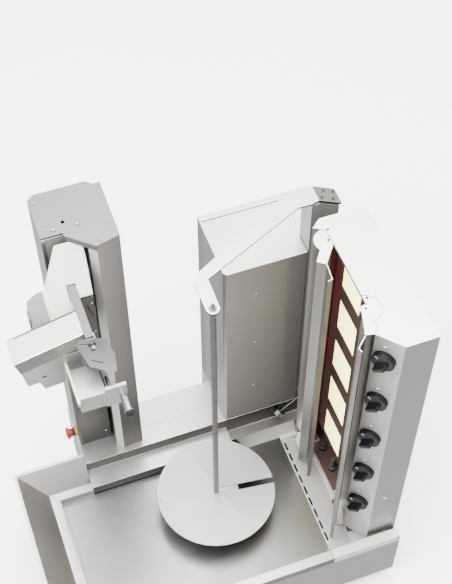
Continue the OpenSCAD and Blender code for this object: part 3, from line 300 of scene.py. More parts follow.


# Each satin sheet has its grey, its roughness and the axis that its grain runs along
# Many greys here are lighter and darker copies of one steel for faces that turn up, to the front or
# sideways, as light would fall on them, and each fade darkens a sheet where shade falls: painted
# light and shade
FINISH = {
    "top": satin_steel("satin_top_sheet", 0.56, 0.36, "x"),
    "cap": satin_steel("tower_cap_sheet", 0.17, 0.38, "x"),
    "side": satin_steel("satin_side_sheet", 0.24, 0.36, "z"),
    "base_side": satin_steel("base_wall_sheet", 0.30, 0.36, "x"),
    "ledge": satin_steel("ledge_sheet", 0.42, 0.34, "x"),
    "riser": satin_steel("shaded_riser_sheet", 0.030, 0.40, "x", warm=0.05),
    "ramp": satin_steel("splash_ramp_sheet", 0.45, 0.45, "x", metal=0.6),
    "pan": satin_steel("wiped_pan_sheet", 0.20, 0.32, "x", marks=1.0,
                       painted_shade_fades=[(RIGHT, -0.05, 0.30, 0.55)]),
    "slope": satin_steel("hopper_slope_sheet", 0.28, 0.34, "x"),
    "left_slope": satin_steel("hopper_left_slope_sheet", 0.045, 0.36, "x", warm=0.05),
    "plate": satin_steel("turntable_sheet", 0.34, 0.46, "x", marks=0.8, metal=0.8),
    "shelf": satin_steel("drip_shelf_sheet", 0.48, 0.45, "y", marks=0.8, metal=0.35),
    "head": satin_steel("head_sheet", 0.66, 0.40, "x", marks=0.3),
    "head_front": satin_steel("head_front_sheet", 0.22, 0.40, "x", marks=0.3),
    "beam": satin_steel("beam_sheet", 0.12, 0.38, "y", marks=0.3),
    "guard": satin_steel("guard_sheet", 0.13, 0.38, "x", marks=0.6,
                         painted_shade_fades=[(UP, 1.20, 1.25, 0.6)]),
    "tray": satin_steel("tray_sheet", 0.42, 0.40, "x", marks=0.3,
                        painted_shade_fades=[(BACK, -0.11, -0.03, 0.4)]),
    "column_front": satin_steel("tower_front_sheet", 0.31, 0.36, "z", warm=0.05,
                                painted_shade_fades=[(DOWN, -1.3, -0.45, 0.2), (RIGHT, -0.17, -0.11, 0.75)]),
    "column_facet": satin_steel("tower_facet_sheet", 0.42, 0.50, "z", metal=0.3,
                                painted_shade_fades=[(DOWN, -1.25, -0.4, 0.70)]),
    "panel": satin_steel("tower_panel_sheet", 0.26, 0.46, "z", warm=0.05, metal=0.7,
                         painted_shade_fades=[(DOWN, -1.30, -0.90, 0.28), (DOWN, -0.46, -0.35, 0.03),
                                (RIGHT, -0.29, -0.22, 0.35)]),
    # The housing's front in painted shade, darker to the right and towards the bottom
    "housing_front": satin_steel("housing_front_painted_shade", 0.16, 0.52, "z", warm=0.06, metal=0.25,
                                 painted_shade_fades=[(RIGHT, 0.17, 0.39, 0.50), (DOWN, -0.95, -0.35, 0.65)]),
    "housing_side": satin_steel("housing_side_sheet", 0.20, 0.36, "z",
                                painted_shade_fades=[(BACK, 0.33, 0.337, 0.62)]),
    "post_front": satin_steel("post_front_sheet", 0.15, 0.42, "z", metal=0.5,
                              painted_shade_fades=[(DOWN, -1.2, -0.35, 0.6)]),
    "post_recess": satin_steel("post_recess_sheet", 0.14, 0.46, "z", warm=0.06, metal=0.5),
    "flange": satin_steel("arm_flange_sheet", 0.19, 0.38, "x"),
    "casing_top": satin_steel("casing_top_sheet", 0.72, 0.40, "x", marks=0.2),
    "casing_front": satin_steel("casing_front_sheet", 0.30, 0.36, "z", marks=0.3),
    "knob_panel": satin_steel("knob_panel_sheet", 0.40, 0.42, "z", marks=0.3, metal=0.6,
                              painted_shade_fades=[(LEFT, -0.42, -0.388, 0.5)]),
    "wing": satin_steel("wing_sheet", 0.22, 0.36, "z", marks=0.3),
    "dark": satin_steel("dark_inner_sheet", 0.09, 0.46, "z", marks=0.8, warm=0.05),
    "body_front": satin_steel("motor_front_sheet", 0.48, 0.40, "x", marks=0.3,
                              painted_shade_fades=[(RIGHT, -0.40, -0.336, 0.6)]),
    "edge": satin_steel("sheet_edge_shade", 0.020, 0.50, "x", warm=0.03),
    "bar": turned_metal("drawn_bar", tone(0.15, 0.03), 0.34),
    "cast": cast_metal("blasted_casting", 0.26, 0.48),
    "machined": turned_metal("machined_steel", tone(0.30, 0.02), 0.30),
    # The knife's ground steel is darkened into painted shadow under the tray
    "blade": turned_metal("ground_blade_painted_shadow", tone(0.05), 0.30),
    "polished": turned_metal("polished_steel", tone(0.20, 0.02), 0.26),
    "screw": turned_metal("screw_steel", tone(0.40, 0.02), 0.34),
    "flange_screw": turned_metal("flange_screw_steel", tone(0.06, 0.03), 0.38),
    "brass": turned_metal("turned_brass", (0.50, 0.34, 0.12, 1), 0.30),
    "rubber": moulded("foot_rubber", (0.030, 0.030, 0.030, 1), 0.78, dust=0.4),
    "seal": moulded("black_seal_rubber", (0.012, 0.012, 0.012, 1), 0.70, dust=0.2),
    "black": moulded("black_knob_plastic", (0.004, 0.004, 0.0044, 1), 0.42, dust=0.10),
    "lighter_black": moulded("lighter_knob_plastic", (0.020, 0.020, 0.021, 1), 0.5, dust=0.2),
    "grip_black": moulded("knurled_cap_plastic", (0.010, 0.011, 0.013, 1), 0.5, dust=0.2),
    "grey_plastic": moulded("grey_unit_plastic", (0.10, 0.10, 0.11, 1), 0.5, dust=0.2),
    "red": moulded("red_button_plastic", (0.20, 0.003, 0.005, 1), 0.34, dust=0.05, shine=0.25),
    "yellow": moulded("yellow_collar_plastic", (0.17, 0.125, 0.010, 1), 0.42, dust=0.08),
    "white_mark": moulded("white_mark_paint", (0.50, 0.50, 0.48, 1), 0.5, dust=0.1),
    "enamel": enamel("red_heatproof_enamel", (0.060, 0.007, 0.007, 1), (0.030, 0.019, 0.018, 1),
                     0.5, turns=(0.012, 0.040)),
    "scorched": enamel("scorched_casing_floor", (0.055, 0.030, 0.028, 1),
                       (0.030, 0.018, 0.016, 1), 0.5),
    "ceramic": glowing_ceramic("burner_ceramic"),
    "lamp": milky_lamp("scanning_lamp"),
    "glass": dark_window("scanner_window_glass"),
    "floor": pale_floor("studio_floor"),
}

NODE_FINISH = {
    "base_side": ["base_shell", "base_front", "fat_drawer"],
    "ledge": ["ledges", "splash_bar"],
    "top": ["arm"],
    "cap": ["tower_cap"],
    "side": ["tower_column", "housing", "post", "burner_casing"],
    "wing": ["wing_rear", "wing_front"],
    "pan": ["pan"],
    "slope": ["hopper"],
    "shelf": ["burner_bay"],
    "plate": ["turntable_plate"],
    "head": ["hood", "scanner_box", "motor_cover", "light_rail"],
    "beam": ["beam", "tray_bar"],
    "guard": ["guard"],
    "tray": ["scan_tray"],
    "panel": ["tower_panel"],
    "dark": ["head_frame", "burner_rails", "gas_train", "plenums"],
    "cast": ["motor_body", "gear_head", "lift_motor", "turntable_motor", "carriage"],
    "bar": ["skewer"],
    "machined": ["guide_rails", "lead_screw", "turntable_hub", "drive_gear", "turntable_bearing",
                 "sensor"],
    "blade": ["knife"],
    "polished": ["clamp_lever"],
    "screw": ["cover_screws"],
    "brass": ["arm_bush", "motor_pinion"],
    "rubber": ["feet"],
    "black": ["knob_1", "knob_2", "knob_3", "knob_4", "knob_5", "igniter_button"],
    "grey_plastic": ["control_unit"],
    "red": ["estop_button"],
    "yellow": ["estop_collar"],
    "enamel": ["burner_frame"],
    "ceramic": ["tiles"],
    "lamp": ["light_strip"],
}
finish_of = {node: finish for finish, names in NODE_FINISH.items() for node in names}


def paint(piece, finish):
    """Gives the whole piece one finish."""
    piece.data.materials.clear()
    piece.data.materials.append(FINISH[finish])


def deselect():
    """Object mode with nothing selected."""
    if bpy.context.object and bpy.context.object.mode != "OBJECT":
        bpy.ops.object.mode_set(mode="OBJECT")
    bpy.ops.object.select_all(action="DESELECT")


def pick(piece):
    """Selects one piece and makes it the active one."""
    deselect()
    piece.select_set(True)
    bpy.context.view_layer.objects.active = piece


def apply_modifiers(piece):
    pick(piece)
    for modifier in list(piece.modifiers):
        bpy.ops.object.modifier_apply(modifier=modifier.name)


def bevel(piece, width, segments=2, angle=35):
    """Breaks the edges that turn by more than the angle, in degrees."""
    pick(piece)
    made = piece.modifiers.new("edge", "BEVEL")
    made.width = width
    made.segments = segments
    made.limit_method = "ANGLE"
    made.angle_limit = math.radians(angle)
    apply_modifiers(piece)


def smooth(piece, angle):
    pick(piece)
    bpy.ops.object.shade_smooth_by_angle(angle=math.radians(angle))


def settle(piece, name, finish, body, angle=32):
    """Names a finished piece, puts its place in its mesh, paints it and sets it on its body."""
    pick(piece)
    bpy.ops.object.transform_apply(location=True, rotation=True, scale=True)
    piece.name = name
    piece.data.name = name
    paint(piece, finish)
    smooth(piece, angle)
    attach(piece, body)
    return piece


def fitted(piece, name, finish, node):
    """A small fitting that rides with the solid it sits on."""
    return settle(piece, name, finish, body_of[node])


def placed(piece, matrix):
    """Moves the mesh of a piece, and leaves its object at the origin."""
    piece.data.transform(matrix)
    return piece


def copied(piece):
    """Another object with its own copy of the mesh."""
    copy = bpy.data.objects.new(piece.name, piece.data.copy())
    bpy.context.scene.collection.objects.link(copy)
    return copy


def discard(*patterns):
    """Takes away the pieces that only served as patterns for copies."""
    for pattern in patterns:
        bpy.data.objects.remove(pattern)


# Corners nearer than this are one corner, faces that turn less than this are one face, and a fold
# that turns more than the last angle shows as a line
SAME_CORNER = 0.002 * MM
SAME_FACE = 0.8
FOLD_ANGLE = 16


def soften(node, width):
    """A copy of a solid with its edges broken, as folded sheet and castings have them."""
    copy = copied(nodes[node])
    pick(copy)
    bpy.ops.object.mode_set(mode="EDIT")
    bpy.ops.mesh.select_all(action="SELECT")
    bpy.ops.mesh.remove_doubles(threshold=SAME_CORNER)
    bpy.ops.mesh.dissolve_limited(angle_limit=math.radians(SAME_FACE))
    bpy.ops.object.mode_set(mode="OBJECT")
    bevel(copy, width)
    settle(copy, node + "_finished", finish_of[node], body_of[node],
           angle=FOLD_ANGLE)
    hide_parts(node)
    return copy


def refinish(piece, finish, test):
    """Another finish on the faces whose centre and normal pass the test."""
    piece.data.materials.append(FINISH[finish])
    for face in piece.data.polygons:
        if test(face.center, face.normal):
            face.material_index = len(piece.data.materials) - 1


for node, thing in nodes.items():
    paint(thing, finish_of[node])

# Width of the broken edges of each sheet and casting
SOFTENED = {
    "base_shell": 0.0012, "base_front": 0.0008, "fat_drawer": 0.0008, "ledges": 0.0008,
    "splash_bar": 0.0008, "pan": 0.0008, "hopper": 0.0008, "tower_column": 0.0008,
    "tower_cap": 0.0009, "housing": 0.0012, "post": 0.0012, "arm": 0.0012, "hood": 0.0009,
    "scanner_box": 0.0012, "beam": 0.0009, "motor_cover": 0.0020, "motor_body": 0.0016,
    "gear_head": 0.0012, "guard": 0.0007, "scan_tray": 0.0007, "light_rail": 0.0007,
    "tray_bar": 0.0006, "burner_casing": 0.0007, "wing_rear": 0.0005, "wing_front": 0.0005,
    "burner_frame": 0.0005, "clamp_lever": 0.0012, "skewer": 0.0006, "sensor": 0.0010,
    "turntable_plate": 0.0006, "head_frame": 0.0007,
}
sheets = {node: soften(node, width) for node, width in SOFTENED.items()}


def faces_up(centre, normal):
    return normal.z > 0.7


def faces_front(centre, normal):
    return normal.y < -0.7


def faces_front_left(centre, normal):
    return normal.x < -0.5 and normal.y < -0.3


# Places where one finish ends on a piece and the next begins
HOUSING_LEFT = 0.165
POST_FOLD = 0.426
PAN_RIM = 0.26
CASING_FLOOR, CASING_ROOF, CASING_LIP = 0.30, 1.28, 1.290
REAR_WING_LIP, FRONT_WING_LIP = 1.288, 1.290
MOUTH_BACK, MOUTH_BACK_INSIDE, CASING_CORNER = 0.02, 0.03, 0.066
MOUTH_WALL, MOUTH_WALL_INSIDE = 0.42, 0.425
CASING_BACK, CASING_BACK_INSIDE = 0.10, 0.1035
KNOB_PANEL_BACK, CASING_FRONT = -0.27, -0.33
SENSOR_CAP = -0.1745

# Most of these give faces that turn up, to the front or sideways a lighter or darker copy of their
# steel, and edges a dark one: painted light and shade. The enamel, the scorched floor and the
# sensor's black cap are the parts' own colours
for node, finish, test in [
        ("tower_column", "column_front", faces_front),
        ("tower_column", "column_facet", faces_front_left),
        ("housing", "top", faces_up),
        ("housing", "housing_side", lambda c, n: n.x < -0.6 and c.x < HOUSING_LEFT),
        ("housing", "housing_front", faces_front),
        ("post", "post_front", lambda c, n: faces_front(c, n) and c.x < POST_FOLD),
        ("post", "post_recess", lambda c, n: faces_front(c, n) and c.x >= POST_FOLD),
        ("arm", "edge", lambda c, n: n.z < 0.3),
        ("arm", "flange", lambda c, n: n.x > 0.3 and n.z > 0.5),
        ("ledges", "riser", faces_front),
        ("splash_bar", "ramp", lambda c, n: n.z > 0.1 and n.y < -0.1),
        ("splash_bar", "riser", lambda c, n: n.y < -0.95),
        ("hopper", "left_slope", lambda c, n: n.x > 0.3 and n.z > 0.3),
        ("hopper", "ledge", faces_up),
        ("pan", "ledge", lambda c, n: faces_up(c, n) and c.z > PAN_RIM),
        ("burner_casing", "casing_top", lambda c, n: faces_up(c, n) and c.z > CASING_ROOF),
        ("burner_casing", "scorched", lambda c, n: faces_up(c, n) and c.z < CASING_FLOOR),
        ("burner_casing", "scorched",
         lambda c, n: n.x < -0.9 and MOUTH_BACK < c.y < CASING_CORNER),
        ("burner_casing", "enamel",
         lambda c, n: (faces_front(c, n) and c.x < MOUTH_WALL
                       and MOUTH_BACK < c.y < MOUTH_BACK_INSIDE)),
        ("burner_casing", "enamel",
         lambda c, n: n.x > 0.7 and c.x < MOUTH_WALL_INSIDE and c.y > KNOB_PANEL_BACK),
        ("burner_casing", "enamel",
         lambda c, n: faces_front(c, n) and CASING_BACK < c.y < CASING_BACK_INSIDE),
        ("sensor", "grip_black", lambda c, n: c.y < SENSOR_CAP),
        ("burner_casing", "knob_panel",
         lambda c, n: n.x < -0.5 and n.y < -0.5 and c.y < KNOB_PANEL_BACK),
        ("burner_casing", "casing_front", lambda c, n: n.y < -0.9 and c.y < CASING_FRONT),
        ("burner_casing", "edge", lambda c, n: c.z > CASING_LIP and n.z < 0.9),
        ("wing_rear", "casing_top", faces_up),
        ("wing_front", "casing_top", faces_up),
        ("wing_rear", "post_recess", lambda c, n: n.x > 0.1 and n.y < 0 and abs(n.z) < 0.5),
        ("wing_rear", "edge", lambda c, n: c.z > REAR_WING_LIP and n.z < 0.9),
        ("wing_front", "edge", lambda c, n: c.z > FRONT_WING_LIP and n.z < 0.9),
        ("motor_cover", "riser", lambda c, n: n.y > 0.1 and n.z > 0.05),
        ("motor_cover", "head_front", faces_front),
        ("motor_body", "body_front", faces_front),
        ("scanner_box", "head_front", faces_front)]:
    refinish(sheets[node], finish, test)


def select_faces(piece, test):
    """Edit mode with only the faces selected whose centre and normal pass the test."""
    pick(piece)
    bpy.ops.object.mode_set(mode="EDIT")
    bpy.ops.mesh.select_mode(type="FACE")
    bpy.ops.mesh.select_all(action="DESELECT")
    bpy.ops.object.mode_set(mode="OBJECT")
    for face in piece.data.polygons:
        face.select = bool(test(face.center, face.normal))
    bpy.ops.object.mode_set(mode="EDIT")


def top_faces(piece):
    highest = max(corner.co.z for corner in piece.data.vertices)
    select_faces(piece, lambda c, n: n.z > 0.9 and c.z > highest - 0.02 * MM)


def disc(radius, depth, low=0.0, sides=56):
    """A round blank that stands on the height low."""
    deselect()
    bpy.ops.mesh.primitive_cylinder_add(vertices=sides, radius=radius, depth=depth,
                                        location=(0, 0, low + depth / 2))
    piece = bpy.context.object
    bpy.ops.object.transform_apply(location=True, rotation=True, scale=True)
    return piece


def slab(low, high):
    """A box between two corners, ready to be shaped."""
    deselect()
    bpy.ops.mesh.primitive_cube_add(size=1, location=(Vector(low) + Vector(high)) / 2)
    piece = bpy.context.object
    piece.scale = Vector(high) - Vector(low)
    bpy.ops.object.transform_apply(location=True, rotation=True, scale=True)
    return piece


def step_up(piece, inset, rise, scale=1.0):
    """Insets the top and pulls it up, or down into a recess."""
    top_faces(piece)
    if inset:
        bpy.ops.mesh.inset(thickness=inset)
    bpy.ops.mesh.extrude_region_move(TRANSFORM_OT_translate={"value": (0, 0, rise)})
    if scale != 1.0:
        bpy.ops.transform.resize(value=(scale, scale, 1))
    bpy.ops.object.mode_set(mode="OBJECT")


def joined(pieces):
    """One mesh object of all the pieces."""
    pick(pieces[0])
    for other in pieces[1:]:
        other.select_set(True)
    bpy.ops.object.join()
    return bpy.context.object


def repeated(piece, matrices):
    """One mesh object holding a copy of the piece at each place."""
    copies = [placed(copied(piece), matrix) for matrix in matrices]
    discard(piece)
    return joined(copies)


def raised(step, count):
    """Places one above the other, a step apart."""
    return [Matrix.Translation((0, 0, step * turn)) for turn in range(count)]


def facing(point, normal):
    """Places a piece modelled with Z outwards on a face at that point."""
    turn = Vector(normal).to_track_quat("Z", "Y").to_matrix().to_4x4()
    return Matrix.Translation(point) @ turn


# Gas knobs on the casing's slanting panel
PANEL_MIDDLE = (0.407986, -0.304540)
PANEL_NORMAL = (-0.743392, -0.668856, 0.0)
LOWEST_KNOB, KNOB_PITCH = 0.128, 0.1885
KNOB_HEIGHTS = [DECK + LOWEST_KNOB + KNOB_PITCH * row for row in range(5)]
KNOB_PLACES = [facing((*PANEL_MIDDLE, height), PANEL_NORMAL) for height in KNOB_HEIGHTS]
SKIRT_RADIUS = 31.2 * MM
GRIP_LENGTH, GRIP_WIDTH = 35.2 * MM, 11.6 * MM
GRIP_LOW, GRIP_SHOULDER, GRIP_TAPER = 13.0 * MM, 36.0 * MM, 6.0 * MM
GRIP_TURN = Matrix.Rotation(math.radians(35), 4, "Z")
INDEX_TURN = Matrix.Rotation(math.radians(52), 4, "Z")


def gas_knob():
    """Stepped skirt, tapered grip bar with hollowed sides, and the shaft behind them."""
    skirt = disc(SKIRT_RADIUS, 12.6 * MM, 1.0 * MM, 80)
    step_up(skirt, 0.0, 1.6 * MM, 0.97)
    step_up(skirt, 2.0 * MM, -0.6 * MM, 0.99)
    bevel(skirt, 0.6 * MM, 3, 30)
    grip = slab((-GRIP_LENGTH / 2, -GRIP_WIDTH / 2, GRIP_LOW),
                (GRIP_LENGTH / 2, GRIP_WIDTH / 2, GRIP_SHOULDER))
    step_up(grip, 0.0, GRIP_TAPER, 0.90)
    select_faces(grip, lambda c, n: abs(n.y) > 0.7 and c.z < GRIP_SHOULDER - 2 * MM)
    bpy.ops.mesh.inset(thickness=2.4 * MM)
    bpy.ops.transform.resize(value=(1, 0.82, 1))
    bpy.ops.object.mode_set(mode="OBJECT")
    bevel(grip, 1.3 * MM, 3, 30)
    placed(grip, GRIP_TURN)
    shaft = disc(4.0 * MM, 18.0 * MM, -15.0 * MM, 24)
    return joined([skirt, grip, shaft])


def knob_face():
    """Dial face inside the skirt, in a lighter black."""
    face = disc(28.6 * MM, 1.1 * MM, 13.9 * MM, 80)
    bevel(face, 0.3 * MM, 2, 30)
    return face


def knob_index():
    """White index line on the dial face."""
    line = slab((-0.9 * MM, 17 * MM, 14.9 * MM), (0.9 * MM, 27 * MM, 15.3 * MM))
    return placed(line, INDEX_TURN)


knob_pieces = [("dial", "black", gas_knob()), ("face", "lighter_black", knob_face()),
               ("index", "white_mark", knob_index())]
for row, place in enumerate(KNOB_PLACES, 1):
    for part, finish, pattern in knob_pieces:
        piece = placed(copied(pattern), place)
        settle(piece, "gas_knob_%s_%d" % (part, row), finish, "gas_knob_%d" % row)
        if part == "dial":
            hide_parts("knob_%d" % row)
            away = place.inverted()
            # The grip's outer end, like the dial face, in a lighter black
            refinish(piece, "lighter_black", lambda c, n: n.dot(Vector(PANEL_NORMAL)) > 0.9
                     and (away @ c).z > GRIP_SHOULDER + 4 * MM)
discard(*(pattern for part, finish, pattern in knob_pieces))

# Small clips on the panel above the knobs
clip = slab((-10 * MM, 42 * MM, 0.0), (2 * MM, 51 * MM, 0.9 * MM))
step_up(clip, 1.6 * MM, 1.2 * MM, 0.8)
bevel(clip, 0.3 * MM)
clips = repeated(clip, KNOB_PLACES)
settle(clips, "knob_panel_clips", "screw", "burner")

# Stop button: red mushroom on its stem in a yellow collar
STOP_Y, STOP_HEIGHT = 0.237, 0.075
TO_THE_LEFT = Matrix.Rotation(math.radians(-90), 4, "Y")
STOP = Matrix.Translation((TOWER_LEFT, STOP_Y, DECK + STOP_HEIGHT)) @ TO_THE_LEFT
stem = disc(10.9 * MM, 12.0 * MM, 7.0 * MM, 40)
neck = disc(13.8 * MM, 9.6 * MM, 18.2 * MM, 56)
bevel(neck, 0.8 * MM)
head = disc(19.6 * MM, 4.6 * MM, 27.2 * MM, 72)
step_up(head, 0.8 * MM, 2.4 * MM, 0.95)
step_up(head, 3.4 * MM, 1.8 * MM, 0.84)
step_up(head, 3.0 * MM, 0.6 * MM, 0.80)
bevel(head, 1.2 * MM, 3, 10)
stop = placed(joined([head, neck, stem]), STOP)
settle(stop, "stop_button_mushroom", "red", "stop_button")
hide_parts("estop_button")

ring = disc(15.8 * MM, 7.0 * MM, 0.0, 64)
step_up(ring, 0.0, 1.8 * MM, 0.94)
step_up(ring, 2.7 * MM, -7.0 * MM)
bevel(ring, 0.5 * MM, 2, 40)
placed(ring, STOP)
settle(ring, "stop_button_collar", "yellow", "base")
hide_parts("estop_collar")
seat = disc(12.0 * MM, 3.4 * MM, 8.9 * MM, 56)
step_up(seat, 0.0, 4.6 * MM, 0.93)
bevel(seat, 0.4 * MM)
placed(seat, STOP)
settle(seat, "stop_button_boot", "seal", "stop_button")


def screw_head(radius, height):
    """Low domed head with a round socket."""
    head = disc(radius, height * 0.55, 0.0, 28)
    step_up(head, 0.0, height * 0.45, 0.86)
    step_up(head, radius * 0.42, -height * 0.55)
    bevel(head, radius * 0.07, 1, 50)
    return head


def on_cap(x, y):
    """A place on the tower's cap, from the tower's left wall."""
    return facing((TOWER_LEFT + x * MM, y * MM, TOWER_TOP), UP)


# Screws of the cap and of the housing's cover, the cap's bolts and the screws in the arm's flange
CAP_SCREWS = [(15, 351), (36, 365), (136, 365), (181, 330), (181, 241), (143, 179), (15, 256)]
CAP_BOLTS = [(39, 249), (100, 249)]
COVER_SCREW_X, COVER_FRONT = 0.2495, 0.156
LOWEST_COVER_SCREW, COVER_SCREW_PITCH = 0.163, 0.238
FLANGE_SCREWS = [(14, 13), (33, 41), (52, 13), (66, 41)]
FLANGE = Matrix.Translation((0.422, 0.161, 1.295)) @ Matrix.Rotation(math.radians(28.5), 4, "Y")
small = repeated(screw_head(3.6 * MM, 1.9 * MM), [on_cap(x, y) for x, y in CAP_SCREWS] + [
    facing((COVER_SCREW_X, COVER_FRONT, DECK + LOWEST_COVER_SCREW + COVER_SCREW_PITCH * row), FRONT)
    for row in range(3)])
bolts = repeated(screw_head(6.0 * MM, 3.0 * MM), [on_cap(x, y) for x, y in CAP_BOLTS])
wide = repeated(screw_head(4.4 * MM, 2.4 * MM), [
    FLANGE @ Matrix.Translation((x * MM, y * MM, 0)) for x, y in FLANGE_SCREWS])
screws = joined([small, bolts, wide])
settle(screws, "sheet_screws", "screw", "base")
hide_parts("cover_screws")
# Those of the arm, which are right of this place, are darker, and so are the sides and sockets of
# those on the cap: painted shade
ON_ARM = 0.40
refinish(screws, "flange_screw", lambda c, n: c.x > ON_ARM or n.z < 0.6 and c.z > TOWER_TOP)

casing_screws = repeated(screw_head(3.6 * MM, 1.9 * MM), [
    facing((0.4045, 0.0631, 1.295), UP), facing((0.4109, -0.1720, 1.295), UP)])
settle(casing_screws, "casing_top_screws", "flange_screw", "burner")

# Pins that the wings turn on, and single screws in the head and the tower
pin = disc(3.6 * MM, 1.2 * MM, 0.0, 32)
step_up(pin, 1.2 * MM, -0.7 * MM)
for name, node, x, y, z in [("rear_wing_pin", "wing_rear", 0.394, 0.032, 1.2916),
                            ("front_wing_pin", "wing_front", 0.395, -0.201, 1.2950)]:
    fitted(placed(copied(pin), Matrix.Translation((x, y, z))), name, "flange_screw", node)
screw = screw_head(3.0 * MM, 1.8 * MM)
for name, node, x, y, z in [("head_plate_screw_high", "head_frame", -0.221, 0.115, 1.200),
                            ("head_plate_screw_low", "head_frame", -0.222, 0.115, 1.074),
                            ("tower_panel_screw", "tower_panel", -0.219, 0.2267, 0.375),
                            ("tray_screw", "scan_tray", -0.252, -0.1270, 1.136)]:
    fitted(placed(copied(screw), facing((x, y, z), FRONT)), name, "screw", node)
discard(pin, screw)

# Thin dark lines, in millimetres: painted shadow in the slot in the housing's top, the ledge's
# seam, and painted shadow in the slots in the motor body and in the casing's louvre
for name, node, low, high in [
        ("housing_slot_painted_shadow", "housing", (161, 355.4, 1090), (390, 358.6, 1094.7)),
        ("ledge_seam", "ledges", (-112, 220.6, 329.4), (153, 221.4, 330.3)),
        ("motor_body_slot", "motor_body", (-395, -13.6, 1126), (-382, -12.0, 1130)),
        ("casing_louvre_slot", "burner_casing", (469, -339.6, 482), (481, -338, 485))]:
    line = slab(Vector(low) * MM, Vector(high) * MM)
    bevel(line, 0.1 * MM, 1)
    fitted(line, name, "edge", node)
louvre = disc(7.5 * MM, 2.6 * MM, 0.0, 40)
step_up(louvre, 0.0, 1.6 * MM, 0.6)
bevel(louvre, 0.6 * MM)
placed(louvre, facing((0.475, -0.3392, 0.489), FRONT) @ Matrix.Diagonal((1, 0.5, 1, 1)))
fitted(louvre, "casing_louvre", "screw", "burner_casing")

# Guard boss in its three-lobed recess, whose shade is painted as dark discs
GUARD_TILT = Matrix.Rotation(math.radians(37), 4, "X")
GUARD = Matrix.Translation((0, -0.0262, 1.261)) @ GUARD_TILT
LOBES = [(-266.5, -21), (-256, -20.5), (-262, -31)]
BOSS = Matrix.Translation((-259.5 * MM, -27.5 * MM, 0))
lobes = repeated(disc(4.8 * MM, 0.5 * MM, 3.6 * MM, 40), [
    Matrix.Translation((x * MM, y * MM, 0)) for x, y in LOBES])
bevel(lobes, 0.15 * MM, 1)
fitted(placed(lobes, GUARD), "guard_recess", "edge", "guard")
boss = disc(5.0 * MM, 2.2 * MM, 3.8 * MM, 48)
step_up(boss, 0.0, 0.8 * MM, 0.85)
bevel(boss, 0.3 * MM)
fitted(placed(boss, GUARD @ BOSS), "guard_boss", "tray", "guard")

# Round sensor: a bright collar, and the stepped and hollowed end of its dark cap
collar = disc(12.8 * MM, 2.4 * MM, 45.0 * MM, 56)
step_up(collar, 0.0, 0.8 * MM, 0.96)
cap = disc(10.2 * MM, 2.4 * MM, 52.4 * MM, 48)
step_up(cap, 1.6 * MM, 1.0 * MM, 0.9)
step_up(cap, 2.6 * MM, -1.6 * MM)
bevel(cap, 0.3 * MM)
for piece, name, finish in [(collar, "sensor_collar", "machined"),
                            (cap, "sensor_cap", "grip_black")]:
    fitted(placed(piece, facing((-0.215, -0.127, 1.112), FRONT)), name, finish, "sensor")

# Dark ribbed pin that stands out of the arm's bush
SKEWER_TOP = Matrix.Translation((0.0425, -0.072, 1.302))
rib = disc(4.1 * MM, 1.0 * MM, 2.0 * MM, 32)
step_up(rib, 0.0, 0.3 * MM, 0.9)
pin = joined([disc(3.6 * MM, 10.0 * MM, 0.0, 32), repeated(rib, raised(2.0 * MM, 4))])
fitted(placed(pin, SKEWER_TOP), "skewer_pin", "flange_screw", "skewer")

# Shaded fold along the rear edge of the motor cover, on its sloping top
fold = slab((-94 * MM, 58.6 * MM, -0.4 * MM), (94 * MM, 64.2 * MM, 0.35 * MM))
bevel(fold, 0.15 * MM, 1)
COVER_RISE, COVER_RUN = 46, 183
COVER_TILT = Matrix.Rotation(-math.atan2(COVER_RISE, COVER_RUN), 4, "Y")
COVER_TOP = Matrix.Translation((-0.3645, 0, 1.238)) @ COVER_TILT
fitted(placed(fold, COVER_TOP), "motor_cover_fold", "guard", "motor_cover")

# Narrow lit line of the scanning lamp on its rail
lit = slab((-332.6 * MM, -137 * MM, 1155.8 * MM), (-329.6 * MM, 174 * MM, 1157.6 * MM))
bevel(lit, 0.4 * MM)
fitted(lit, "scanning_lamp_line", "lamp", "light_strip")
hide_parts("light_strip")

# Scanner window on the left of the box beside the hood
WINDOW_LOW, WINDOW_HIGH = DECK + 0.862, DECK + 0.912
pane = slab((-387.2 * MM, 88 * MM, WINDOW_LOW), (-383.0 * MM, 117 * MM, WINDOW_HIGH))
select_faces(pane, lambda c, n: n.x < -0.9)
bpy.ops.mesh.inset(thickness=3 * MM)
bpy.ops.mesh.extrude_region_move(TRANSFORM_OT_translate={"value": (0.8 * MM, 0, 0)})
bpy.ops.object.mode_set(mode="OBJECT")
bevel(pane, 0.4 * MM)
settle(pane, "scanner_window", "glass", "head")


def levelling_foot():
    """Pad, hexagon nut and threaded stem."""
    pad = disc(20 * MM, 7 * MM, 0.0, 56)
    step_up(pad, 5 * MM, 5 * MM, 0.8)
    bevel(pad, 1.0 * MM, 2, 30)
    nut = disc(12 * MM, 7 * MM, 12 * MM, 6)
    bevel(nut, 0.8 * MM, 2, 30)
    stem = disc(8 * MM, 21 * MM, 18.8 * MM, 32)
    thread = disc(8 * MM, 1.5 * MM, 20.5 * MM, 32)
    step_up(thread, 0.0, 0.4 * MM, 0.94)
    return joined([pad, nut, stem, repeated(thread, raised(3 * MM, 6))])


FOOT_PLACES = [(-0.483, -0.330), (0.483, -0.330), (0.483, 0.330), (-0.259, 0.330), (-0.483, 0.134)]
feet = repeated(levelling_foot(), [Matrix.Translation((x, y, 0)) for x, y in FOOT_PLACES])
settle(feet, "levelling_feet", "rubber", "base")
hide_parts("feet")

# Studio floor, which neither lights the machine nor shows in its sheets
bpy.ops.mesh.primitive_plane_add(size=14, location=(0, 0, 0))
floor = bpy.context.object
floor.name = "studio_floor"
paint(floor, "floor")
floor.visible_glossy = False
floor.visible_diffuse = False

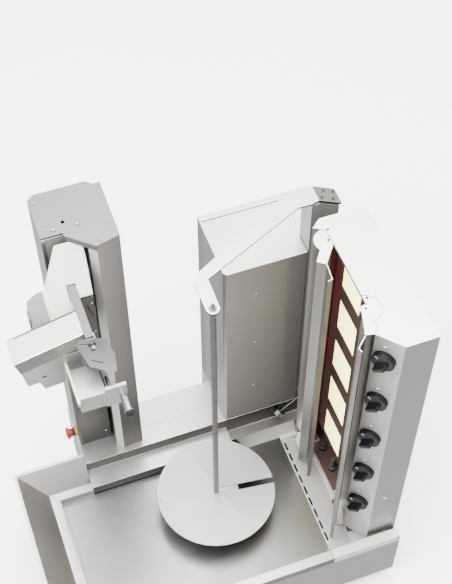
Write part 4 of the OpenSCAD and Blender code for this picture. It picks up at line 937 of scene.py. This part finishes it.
# Brightness of the surroundings from straight below to straight above
WORLD_STRENGTH = 5.2
WORLD_STOPS = [(0.0, 0.30), (0.46, 0.30), (0.56, 0.50), (0.80, 0.95), (1.0, 1.0)]
world = bpy.data.worlds.new("studio")
world.use_nodes = True
sky = world.node_tree.nodes
aim = sky.new("ShaderNodeTexCoord")
split = sky.new("ShaderNodeSeparateXYZ")
height = sky.new("ShaderNodeMapRange")
height.inputs["From Min"].default_value = -1.0
shade = sky.new("ShaderNodeValToRGB")
while len(shade.color_ramp.elements) < len(WORLD_STOPS):
    shade.color_ramp.elements.new(0.5)
for element, (position, value) in zip(shade.color_ramp.elements, WORLD_STOPS):
    element.position = position
    element.color = (value, value, value, 1)
for source, target in [(aim.outputs["Generated"], split.inputs[0]),
                       (split.outputs["Z"], height.inputs["Value"]),
                       (height.outputs[0], shade.inputs[0]),
                       (shade.outputs[0], sky["Background"].inputs["Color"])]:
    world.node_tree.links.new(source, target)
sky["Background"].inputs["Strength"].default_value = WORLD_STRENGTH
bpy.context.scene.world = world


def soft_box(name, place, target, size, watts):
    """A rectangular lamp that looks at its target."""
    lamp = bpy.data.lights.new(name, "AREA")
    lamp.shape = "RECTANGLE"
    lamp.size, lamp.size_y = size
    lamp.energy = watts
    holder = bpy.data.objects.new(name, lamp)
    holder.location = place
    holder.rotation_euler = (Vector(target) - Vector(place)).to_track_quat("-Z", "Y").to_euler()
    bpy.context.scene.collection.objects.link(holder)


soft_box("key", place=(-1.6, -1.0, 4.2), target=(0.0, 0.0, 0.7), size=(2.4, 2.4), watts=430)
soft_box("top", place=(0.4, 0.6, 4.4), target=(0.0, 0.0, 0.6), size=(2.6, 2.6), watts=280)

# The photograph's camera, which looks down at the machine from its left front
LOOKS_DOWN, LOOKS_RIGHT = 53.47, 20.01
eye = bpy.data.cameras.new("photo_camera")
eye.lens = 75.4
eye.sensor_width = 36.0
eye.shift_x = -0.0041
eye.clip_end = 40
camera = bpy.data.objects.new("photo_camera", eye)
camera.location = (-0.522, -1.733, 3.730)
camera.rotation_euler = (math.radians(90 - LOOKS_DOWN), 0.0, math.radians(-LOOKS_RIGHT))
bpy.context.scene.collection.objects.link(camera)
bpy.context.scene.camera = camera
